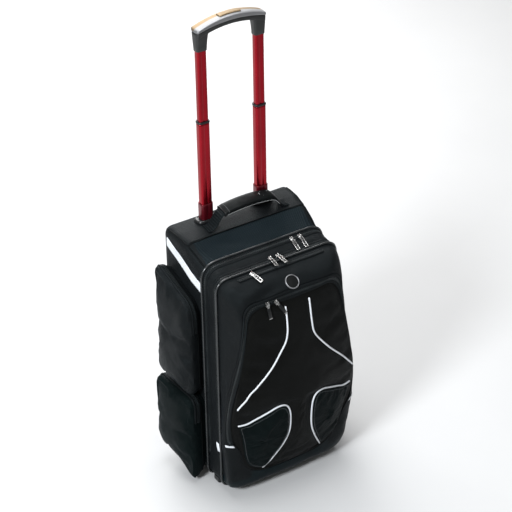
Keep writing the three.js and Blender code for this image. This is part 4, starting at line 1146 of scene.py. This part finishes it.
for level, spec in SIDE_POCKETS.items():
    left = side_pocket(level, spec)
    for label, side in SIDES:
        grid, normal = left if side < 0 else (rows * MIRROR for rows in left)
        solid = slab(grid, grid - CLOTH * normal, closed=True, capped=True, uv=grid[..., [1, 2]])
        # The lower pockets take the darker teal cloth: painted shade towards the bottom of the side
        cloth = NYLON if level == "upper" else TEAL_CLOTH_PAINTED_SHADE
        obj = dress(f"{level}_pocket_{label}", "cloth", solid, cloth, "nylon")
        up = normal[3][ZIP_SPAN]
        lift = up * (TAPE + 0.35)
        a, b = (grid[2] * (1 - t) + grid[4] * t for t in (0.1, 0.9))
        put_zip(f"zip_{level}_{label}", a[ZIP_SPAN] + lift, b[ZIP_SPAN] + lift, up)
        # Near-black binding along the pocket's seam: painted shade of the seam line
        put(f"{level}_pocket_{label}_seam", tube(grid[2] + normal[2] * 0.6, 1.2, 8, closed=True), SEAM_SHADE_BINDING)


# Reflective bands

def band(label, side):
    stations = resample(BAND_EDGE[::-1], count=40)
    rises = np.linspace(0, BAND_WIDTH, 8)
    spots = np.array([[(side * shell_side(y, z + r), y, z + r) for y, z in stations] for r in rises])
    grid, normal = (rows.reshape(spots.shape) for rows in nearest(SHELL_TREE, spots.reshape(-1, 3)))
    lift = np.full(len(rises), 1.9)
    lift[[0, -1]] = 1.2
    outer = grid + normal * lift[:, None, None]
    dress(f"band_{label}", "cloth", slab(outer, grid + normal * 0.3), WHITE, "white")
    for edge, row in (("low", 1), ("high", -2)):
        put(f"band_{label}_stitch_{edge}", stitches(outer[row], normal[row]), PALE_THREAD)


for label, side in SIDES:
    band(label, side)


# White zip tabs

def soft_patch(node, corners, inside, lift):
    """Small folded tab over four corners, thicker in the middle."""
    a, b, c, d = np.array(corners, float)
    u, v = np.meshgrid(np.linspace(0, 1, 9), np.linspace(0, 1, 7))
    u, v = u[..., None], v[..., None]
    grid = (a * (1 - u) + b * u) * (1 - v) + (d * (1 - u) + c * u) * v
    normal = grid_normals(grid, inside)
    crown = (1 - (2 * u - 1) ** 6) * (1 - (2 * v - 1) ** 6)
    outer = grid + normal * (lift + 0.5 + 1.3 * crown)
    dress(node, "cloth", slab(outer, grid + normal * lift), WHITE, "white")


def gusset_side(side, y, z):
    t = (y - REAR_SEAM) / (FRONT_SEAM - REAR_SEAM)
    return side * (SHELL_SECTIONS[0, 1] * (1 - t) + FRONT_SECTION["half"] * t), y, z


def zip_tabs(label, side):
    tab, lean = GUSSET_TAB, GUSSET_TAB["lean"]
    places = ((tab["y0"], tab["z0"]), (tab["y1"] - lean, tab["z0"]),
              (tab["y1"], tab["z1"]), (tab["y0"] + lean, tab["z1"]))
    corners = [gusset_side(side, y, z) for y, z in places]
    soft_patch(f"zip_tab_gusset_{label}", corners, GUSSET_INSIDE, tab["lift"])
    j = LEFT_ZIP_END if side < 0 else RIGHT_ZIP_END
    near = along_profile(-POCKET_TAB["inset"] - SWEEP)
    far = along_profile(-POCKET_TAB["inset"] - POCKET_TAB["reach"] - SWEEP)
    corners = [far[j + side], near[j + 3 * side], near[j + 4 * side], far[j + 2 * side]]
    soft_patch(f"zip_tab_pocket_{label}", corners, FACE_INSIDE, POCKET_TAB["lift"])


for label, side in SIDES:
    zip_tabs(label, side)


# Slip-pocket zip and badge

def slip_zip():
    top = between(TOP_LEFT, TOP_RIGHT)
    rows = [resample(along_profile(d)[top], count=80)[4:-4] for d in SLIP_ZIP]
    (a, up_a), (b, up_b) = (nearest(PANEL_TREE, row, 1.4, FACE_INSIDE) for row in rows)
    put_zip("zip_slip", a, b, (up_a + up_b) / 2)


def badge():
    top = (TOP_LEFT + TOP_RIGHT) // 2
    centre, ahead = (along_profile(BADGE["along"] + step)[top] for step in (0, 1))
    right = np.array((1.0, 0, 0))
    up = unit(np.cross(right, centre - ahead))
    spot, _ = nearest(PANEL_TREE, [centre], 0.1, FACE_INSIDE)
    r = BADGE["radius"]
    bowl = r - BADGE["rim"]
    ring = [(bowl, 0), (r, 0), (r, 1.6), (r - 0.5, 2.6), (r - 1.2, BADGE["height"]), (r - 1.9, 2.7),
            (bowl, 1.9)]
    disc = [(0.01, 0.1), (bowl + 0.2, 0.1), (bowl + 0.2, 1.7), (bowl - 1.5, 1.75), (r * 0.5, 2.1),
            (0.01, 2.25)]
    parts = []
    for profile in (ring, disc):
        points, faces, _ = lathe(profile, 64)
        parts.append(placed((points[:, [1, 2, 0]], faces, None), spot[0], right, up))
    slots = [0] * len(parts[0][1]) + [1] * len(parts[1][1])
    dress("badge", "disc", joined(*parts), [SILVER, BADGE_FACE], "silver", slots=slots)


slip_zip()
badge()


# Zip pulls

def pull(name, origin, tip):
    """Slider with its bail, and a drop: soft on the front pocket, a metal ladder elsewhere."""
    origin, tip = np.array(origin, float), np.array(tip, float)
    bail = resample([(0, 0, 0), (2.2, 0, 1.9), (6.2, 0, 1.9), (8.2, 0, 0)], count=13)
    solids = [
        rounded_box((-8, -4.1, 0.1), (2, 4.1, 1.4), 0.5),
        rounded_box((-7.2, -3.3, 2.3), (1.4, 3.3, 3.4), 0.5),
        rounded_box((-5.6, -1.2, 1.2), (-2.4, 1.2, 2.6), 0.3),
        placed(tube(bail, 0.9, 8), (-7.6, 0, 3.1), (1, 0, 0), (0, 0, 1)),
    ]
    length, half = np.linalg.norm(tip - origin) + PULL_OVER, 4.2
    if name.startswith("pocket"):
        solids += [
            rounded_box((0, -2.4, 1.6), (7, 2.4, 2.9), 0.5),
            rounded_box((5, -3.6, 1.3), (length - 2.5, 3.6, 3.3), 0.9),
            rounded_box((length - 3, -3.9, 1.1), (length, 3.9, 3.6), 0.9),
        ]
        black = len(solids) - 2
    else:
        solids += [rounded_box((0, y - 0.75, 1.4), (length - 0.6, y + 0.75, 3.2), 0.5) for y in (-3.5, 3.5)]
        solids += [rounded_box((x, -3.2, 1.7), (x + 1.3, 3.2, 2.9), 0.35)
                   for x in np.arange(4.2, length - 6, 5.2)]
        solids += [
            rounded_box((0, -half, 1.5), (2.4, half, 3.0), 0.6),
            rounded_box((length - 3.2, -half, 1.4), (length, half, 3.2), 0.8),
            rounded_box((1.5, -3.1, 1.5), (length - 2, 3.1, 2.4), 0.3),
        ]
        black = len(solids) - 1
    slots = [int(k == black) for k, solid in enumerate(solids) for _ in solid[1]]
    solid = placed(joined(*solids), origin, tip - origin, (0, -1, 1))
    dress(f"pull_{name}", "metal", solid, [CHROME, BLACK_PLASTIC], "silver", slots=slots)


for name, (origin, tip) in PULLS.items():
    pull(name, origin, tip)


# Carry handle

STRAP_EDGES = np.array([-1, -0.96, -0.9, -0.5, 0, 0.5, 0.9, 0.96, 1])
ROUND_EDGE = np.array([0.55, 0.85, 1, 1, 1, 1, 1, 0.85, 0.55])


def carry_base(y):
    """Height of the strap's underside where it lies on the shell."""
    return np.interp(y, SHELL_SECTIONS[:, 0], SHELL_SECTIONS[:, 2]) + CARRY["lift"]


def carry_strap():
    table = np.vstack([CARRY_PATH, CARRY_PATH[:-1][::-1] * (-1, 1)])
    path = smooth_curve(np.column_stack([table[:, 0] + CARRY["x"], table[:, 1]]), 3.0)
    tangent = unit(np.gradient(path, axis=0))
    up = np.column_stack([-tangent[:, 1], tangent[:, 0]])

    def lay(shares):
        rows = []
        for edge, share in zip(STRAP_EDGES, shares):
            y = CARRY["y"] + edge * CARRY["width"] / 2
            spot = path + up * (CARRY["thickness"] * share)
            rows.append(np.column_stack([spot[:, 0], np.full(len(path), y), carry_base(y) + spot[:, 1]]))
        return np.array(rows)

    dress("carry_strap", "webbing", slab(lay(ROUND_EDGE), lay(1 - ROUND_EDGE)), WEBBING, "zip")
    ys = np.linspace(CARRY["y"] - 11, CARRY["y"] + 11, 12)
    for label, side in SIDES:
        line = [(CARRY["x"] + side * CARRY["foot"], y, carry_base(y) + CARRY["thickness"]) for y in ys]
        put(f"carry_stitch_{label}", stitches(np.array(line), (0, 0, 1), 3.6, 2.6), SEAM_SHADE_BINDING)
    return path


def carry_wrap(path):
    """Padded wrap round the middle of the strap, with its stitching."""
    offset = path[:, 0] - CARRY["x"]
    span = resample(path[(offset > 1.5 - WRAP["half"]) & (offset < WRAP["half"] + WRAP["over"])], count=64)
    away = np.abs(np.linspace(-1, 1, len(span)))
    plump = 1 - 0.22 * smoothstep(away, 0.84, 1.0)
    turn, cu, cv = squircle(40, 3.4)
    thick = CARRY["thickness"] / 2

    def ring(x, lift, wide, high):
        y = CARRY["y"] + wide * cu
        return np.column_stack([np.full(len(turn), x), y, carry_base(y) + lift + thick + high * cv])

    grid = np.array([ring(x, lift, WRAP["width"] / 2 * (0.94 + 0.06 * p), WRAP["height"] / 2 * p)
                     for (x, lift), p in zip(span, plump)])
    inner = np.array([ring(x, lift, CARRY["width"] / 2 + 1.05, thick + 1.05) for x, lift in span])
    centre = grid.mean(1, keepdims=True)
    normal = unit(grid - centre)
    crown = (1 - smoothstep(away, 0.9, 1.0))[:, None, None]
    grid = crumple(grid, normal * crown, 0.5, 16, 9.1)
    obj = dress("carry_wrap", "leather", slab(grid, inner, closed=True), LEATHER, "vinyl")

    front = int(np.argmin(np.abs(turn - 1.12 * np.pi)))
    seam = stitches(grid[2:-2, front], normal[2:-2, front], 3.4, 2.4, 0.5)
    put("carry_wrap_front_stitch", seam, PALE_THREAD)
    for label, row, end in (("left", 4, 0), ("right", -5, -1)):
        half = np.flatnonzero(grid[row][:, 2] >= centre[row, 0, 2] - 1)
        order = half[np.argsort(grid[row][half, 1])]
        seam = stitches(grid[row][order], normal[row][order], 3.2, 2.2, 0.5)
        put(f"carry_wrap_end_stitch_{label}", seam, THREAD)
        put(f"carry_wrap_rim_{label}", tube(grid[end], 1.1, 8, closed=True, up=(1, 0, 0)), GLOSSY)

    # Curved stitching at the right end of the wrap
    curve = []
    for a in np.linspace(0, 2 * np.pi, 40)[5:-5]:
        at = (0.74 + 0.1 * math.cos(a)) * (len(grid) - 1)
        k = int(round(at))
        y = CARRY["y"] + 9 * math.sin(a)
        top = grid[k][np.argmin(np.abs(grid[k][:, 1] - y) - 1e-3 * grid[k][:, 2])]
        curve.append((top[0] + (at - k) * 1.7, y, top[2]))
    put("carry_wrap_curved_stitch", stitches(np.array(curve), (0, -0.2, 1), 3.0, 2.2, 0.5), PALE_THREAD)


carry_wrap(carry_strap())


# Telescopic handle

# Tubes: body, slot, finish, groove, width, depth, corner, bottom and top
TUBES = {
    "outer_tube": ("bag", "plastic", DARK_RED, 0.7, (27.2, 20.4, 5.4), 40, 600),
    "middle_tube": ("middle_stage", "red", RED, 0.9, (24.0, 17.4, 4.6), 535, 779.5),
    "inner_tube": ("upper_stage", "red", RED, 0.8, (20.6, 14.2, 3.6), 715, 952),
}

# Rings of the sleeves round the tubes: height, width, depth, corner and shift
COLLAR = [(779.85, 25.0, 18.4, 5.2, 0), (780.3, 25.6, 19, 5.2, 0), (782.6, 25.6, 19, 5.2, 0),
          (783.7, 25.2, 18.6, 5.2, 0), (784.35, 24.2, 17.6, 5.2, 0)]
BEZEL = [(559.35, 47.6, 29.6, 12, 0), (560, 48, 30, 12, 0), (562.4, 47.4, 29.4, 12, 0),
         (564.2, 45.4, 27.8, 11.4, 0), (565.2, 41.8, 26, 10.4, 0), (565.5, 38.6, 25, 9.5, 0),
         (564.8, 33, 23.4, 8, 0)]
SOCKET = [(934.5, 22.8, 16.4, 4.4, 0), (935.2, 23.6, 17.2, 4.6, 0), (945, 24.4, 18.8, 5.2, 0),
          (955, 25.6, 20.6, 5.6, 0.1), (963, 27, 22.2, 6, 0.5), (971, 29, 23.6, 6.4, 1.0)]
COLLAR_BORE, BEZEL_BORE, SOCKET_BORE = (21.3, 14.9, 4.0), (28.0, 21.2, 5.8), (21.4, 15.0, 4.0)


def rounded_section(width, depth, corner, inset=0.0, groove=0.0, steps=7):
    """Ring of a rounded section, with a shallow groove down its front and back."""
    w, d, r = width / 2 - inset, depth / 2 - inset, max(corner - inset, 0.5)
    points = []
    for quarter, (cx, cy) in enumerate(((w - r, d - r), (-w + r, d - r), (-w + r, -d + r), (w - r, -d + r))):
        arc = [math.radians(90 * quarter + 90 * k / steps) for k in range(steps + 1)]
        points.extend((cx + r * math.cos(a), cy + r * math.sin(a)) for a in arc)
        if quarter in (0, 2):
            run = np.linspace(1, -1, 14)[1:-1]
            points.extend(((1 - quarter) * (w - r) * t, cy + math.copysign(r, cy)) for t in run)
    ring = np.array(points)
    if groove:
        flat = np.abs(ring[:, 1]) > d - 0.3
        press = groove * np.exp(-((ring[:, 0] / 2.0) ** 4))
        ring[:, 1] -= np.where(flat, np.sign(ring[:, 1]) * press, 0)
    return ring


def at_handle(ring, side, z, shift=0):
    x = side * HANDLE["half"] + ring[:, 0] - side * shift
    return np.column_stack([x, HANDLE["y"] + ring[:, 1], np.full(len(ring), z)])


def sleeve(rings, bore, side):
    """Solid round a tube, with a straight bore."""
    outer = np.array([at_handle(rounded_section(w, d, c), side, z, s) for z, w, d, c, s in rings])
    inner = np.array([at_handle(rounded_section(*bore), side, z) for z, *_ in rings])
    return slab(outer, inner, closed=True)


def telescopic(label, side):
    for name, (body, slot, finish, groove, size, bottom, top) in TUBES.items():
        stations = [bottom, bottom + 0.5, *np.linspace(bottom + 4, top - 4, 12), top - 0.5, top]
        bevel = [0.4] + [0] * (len(stations) - 2) + [0.4]
        outer = np.array([
            at_handle(rounded_section(*size, b, groove), side, z) for z, b in zip(stations, bevel)])
        inner = np.array([at_handle(rounded_section(*size, TUBE_WALL), side, z) for z in stations])
        dress(f"{name}_{label}", "metal", slab(outer, inner, closed=True), finish, slot, body=body)
    collar, bezel = sleeve(COLLAR, COLLAR_BORE, side), sleeve(BEZEL, BEZEL_BORE, side)
    dress(f"collar_{label}", "ring", collar, BLACK_PLASTIC, "plastic", body="middle_stage")
    dress(f"bezel_{label}", "cup", bezel, GLOSSY, "plastic")


def arch_bar(half, low, high, depth, power, end, low_rise=0.0, high_rise=0.0, steps=56):
    """Arched bar of rounded section: rings of points across it, closing in towards its ends."""
    turn, cu, cv = squircle(72, power)
    spread = np.sin(np.linspace(-np.pi / 2, np.pi / 2, steps + 1))
    rings = []
    for x in half * (0.55 * spread + 0.45 * np.linspace(-1, 1, steps + 1)):
        out = (x / GRIP["half"]) ** 2
        dip = (GRIP["crown"] - GRIP["end"]) * out
        close = np.clip((half - abs(x)) / end, 0, 1)
        shrink = math.sqrt(max(1 - (1 - close) ** 2, 0)) * 0.82 + 0.18
        under, over = low + low_rise * out, high + high_rise * out
        y = HANDLE["y"] + depth / 2 * cu * shrink
        z = GRIP["crown"] + (under + over) / 2 - dip + (over - under) / 2 * cv * shrink
        rings.append(np.column_stack([np.full(len(turn), x), y, z]))
    return np.array(rings)


def grip():
    thick = GRIP["cover"]
    taper = 0.42 * thick
    bar = arch_bar(GRIP["half"], -thick, 0, GRIP["depth"], 4.4, 5.0, low_rise=taper)
    cover = capped_rings(bar)
    cols, count = bar.shape[1], len(cover[1])
    slots = [1 if k < count - 2 and cols // 9 <= k % cols < cols // 4 else 0 for k in range(count)]
    dress("grip_cover", "metal", cover, [SILVER, CHAMPAGNE], "silver", body="upper_stage", slots=slots,
          sharp=70)
    under = arch_bar(GRIP["half"] - 0.6, -thick - GRIP["under"] - 2, -thick + 1.5, GRIP["body_depth"],
                     4.4, 5.0, high_rise=taper)
    solids = [capped_rings(under)] + [sleeve(SOCKET, SOCKET_BORE, side) for _, side in SIDES]
    dress("grip_body", "plastic", joined(*solids), PLASTIC, "plastic", body="upper_stage")
    button = arch_bar(BUTTON["half"], -BUTTON["root"], BUTTON["proud"], BUTTON["depth"], 5.0, 2.4)
    dress("grip_button", "pad", capped_rings(button), CHAMPAGNE, "champagne", body="grip_button", sharp=70)


for label, side in SIDES:
    telescopic(label, side)
grip()


# Wheels, housings and feet

def mirrored(half):
    """A wheel's profile from the outer half of it."""
    return half + [(r, -x) for r, x in half[::-1]]


def wheel(label, side):
    r, w, bore = WHEEL["radius"], WHEEL["width"] / 2, WHEEL["bore"]
    tyre = mirrored([(22.5, -w + 1), (25, -w), (27.6, -w + 0.8), (29.4, -w + 2.8), (r, -6.5)])
    grooves = [spot for x in (-4, 0, 4)
               for spot in ((r, x - 1.1), (r - 0.9, x - 0.6), (r - 0.9, x + 0.6), (r, x + 1.1))]
    tyre[5:5] = grooves
    hub = mirrored([(bore, -w + 1.5), (8.5, -w + 1.5), (9.5, -w + 3.5), (19.5, -w + 4.5), (20.5, -w + 1.6),
                    (22.6, -w + 1.2)])
    solids = [lathe(tyre, 64), lathe(hub, 48)]
    for k in range(6):
        angle = math.radians(60 * k)
        c, s = math.cos(angle), math.sin(angle)
        for face in (-1, 1):
            low, high = sorted((face * (w - 5.2), face * (w - 2.0)))
            points, faces, _ = rounded_box((low, -1.3, 8.8), (high, 1.3, 20.6), 0.5)
            x, y, z = points.T
            solids.append((np.column_stack([x, c * y - s * z, s * y + c * z]), faces, None))
    points, faces, loops = joined(*solids)
    slots = [min(k, 1) for k, solid in enumerate(solids) for _ in solid[1]]
    points = points + (side * WHEEL["x"], WHEEL["y"], WHEEL["z"])
    dress(f"wheel_{label}", "tyre", (points, faces, loops), [RUBBER, PLASTIC], "rubber",
          body=f"wheel_{label}", slots=slots)


for label, side in SIDES:
    wheel(label, side)
    for node in (f"wheel_housing_{label}", f"foot_{label}"):
        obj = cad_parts[node]
        obj.data.materials.clear()
        obj.data.materials.append(BLACK_PLASTIC)
        soften = obj.modifiers.new("soft_edges", "BEVEL")
        soften.width = 1.2 * MM
        soften.segments = 3
        soften.limit_method = "ANGLE"
        soften.angle_limit = math.radians(45)


# Stage: floor, light and camera

# Lights: place, target, size, power and colour
LIGHTS = {
    "key": ((-2.7, -1.25, 2.3), (0, 0, 0.4), 0.9, 165, (0.93, 0.965, 1.0)),
    "top": ((0.1, 0.2, 3.4), (0, 0, 0.4), 2.2, 92, (0.97, 0.985, 1.0)),
    "back": ((0.2, 3.4, 3.2), (0.2, 3.0, 0), 2.6, 150, (1.0, 1.0, 1.0)),
    "rear": ((0.9, 2.3, 1.5), (0, 0, 0.35), 1.4, 34, (1.0, 1.0, 1.0)),
}
FLOOR_TONES = (0.45, 0.45, 0.45), (0.48, 0.48, 0.48)
SKY = 0.32


def aimed(name, data, place, way, roll=0.0):
    """An object in the scene that looks along a way."""
    obj = bpy.data.objects.new(name, data)
    bpy.context.scene.collection.objects.link(obj)
    obj.location = place
    turn = way.to_track_quat("-Z", "Y").to_matrix() @ Matrix.Rotation(roll, 3, "Z")
    obj.rotation_euler = turn.to_euler()
    return obj


def stage():
    bpy.ops.mesh.primitive_plane_add(size=16)
    floor = bpy.context.object
    floor.name = "floor"
    look = Look("floor_paint")
    tone = look.ramp(look.noise(3.0), *FLOOR_TONES, 0.0, 1.0)
    floor.data.materials.append(look.finish(Base_Color=tone, Roughness=0.9, Specular_IOR_Level=0.1))
    for name, (place, target, size, power, colour) in LIGHTS.items():
        data = bpy.data.lights.new(name, "AREA")
        data.shape = "DISK"
        data.size = size
        data.energy = power
        data.color = colour
        aimed(name, data, place, Vector(target) - Vector(place))
    world = bpy.data.worlds.new("studio")
    bpy.context.scene.world = world
    world.use_nodes = True
    background = world.node_tree.nodes["Background"]
    background.inputs["Color"].default_value = (1, 1, 1, 1)
    background.inputs["Strength"].default_value = SKY
    bpy.context.scene.view_settings.view_transform = "Standard"


AZIMUTH, ELEVATION, ROLL = math.radians(-32.72), math.radians(32.45), math.radians(-1.0)
FOCAL_PIXELS, DISTANCE, IMAGE, SENSOR = 1785.0, 3612.0, 512.0, 36.0
CENTRE_SHIFT = (0.55, 9.05)
TARGET = (0, 0, 470.0)


def camera():
    level = math.cos(ELEVATION)
    back = Vector((math.sin(AZIMUTH) * level, -math.cos(AZIMUTH) * level, math.sin(ELEVATION)))
    data = bpy.data.cameras.new("camera")
    data.sensor_width = SENSOR
    data.lens = SENSOR * FOCAL_PIXELS / IMAGE
    data.shift_x = -CENTRE_SHIFT[0] / IMAGE
    data.shift_y = CENTRE_SHIFT[1] / IMAGE
    data.clip_start, data.clip_end = 0.1, 60.0
    place = Vector(to_frame(TARGET)[0]) + back * DISTANCE * MM
    bpy.context.scene.camera = aimed("camera", data, place, -back, ROLL)


stage()
camera()

bpy.context.view_layer.update()
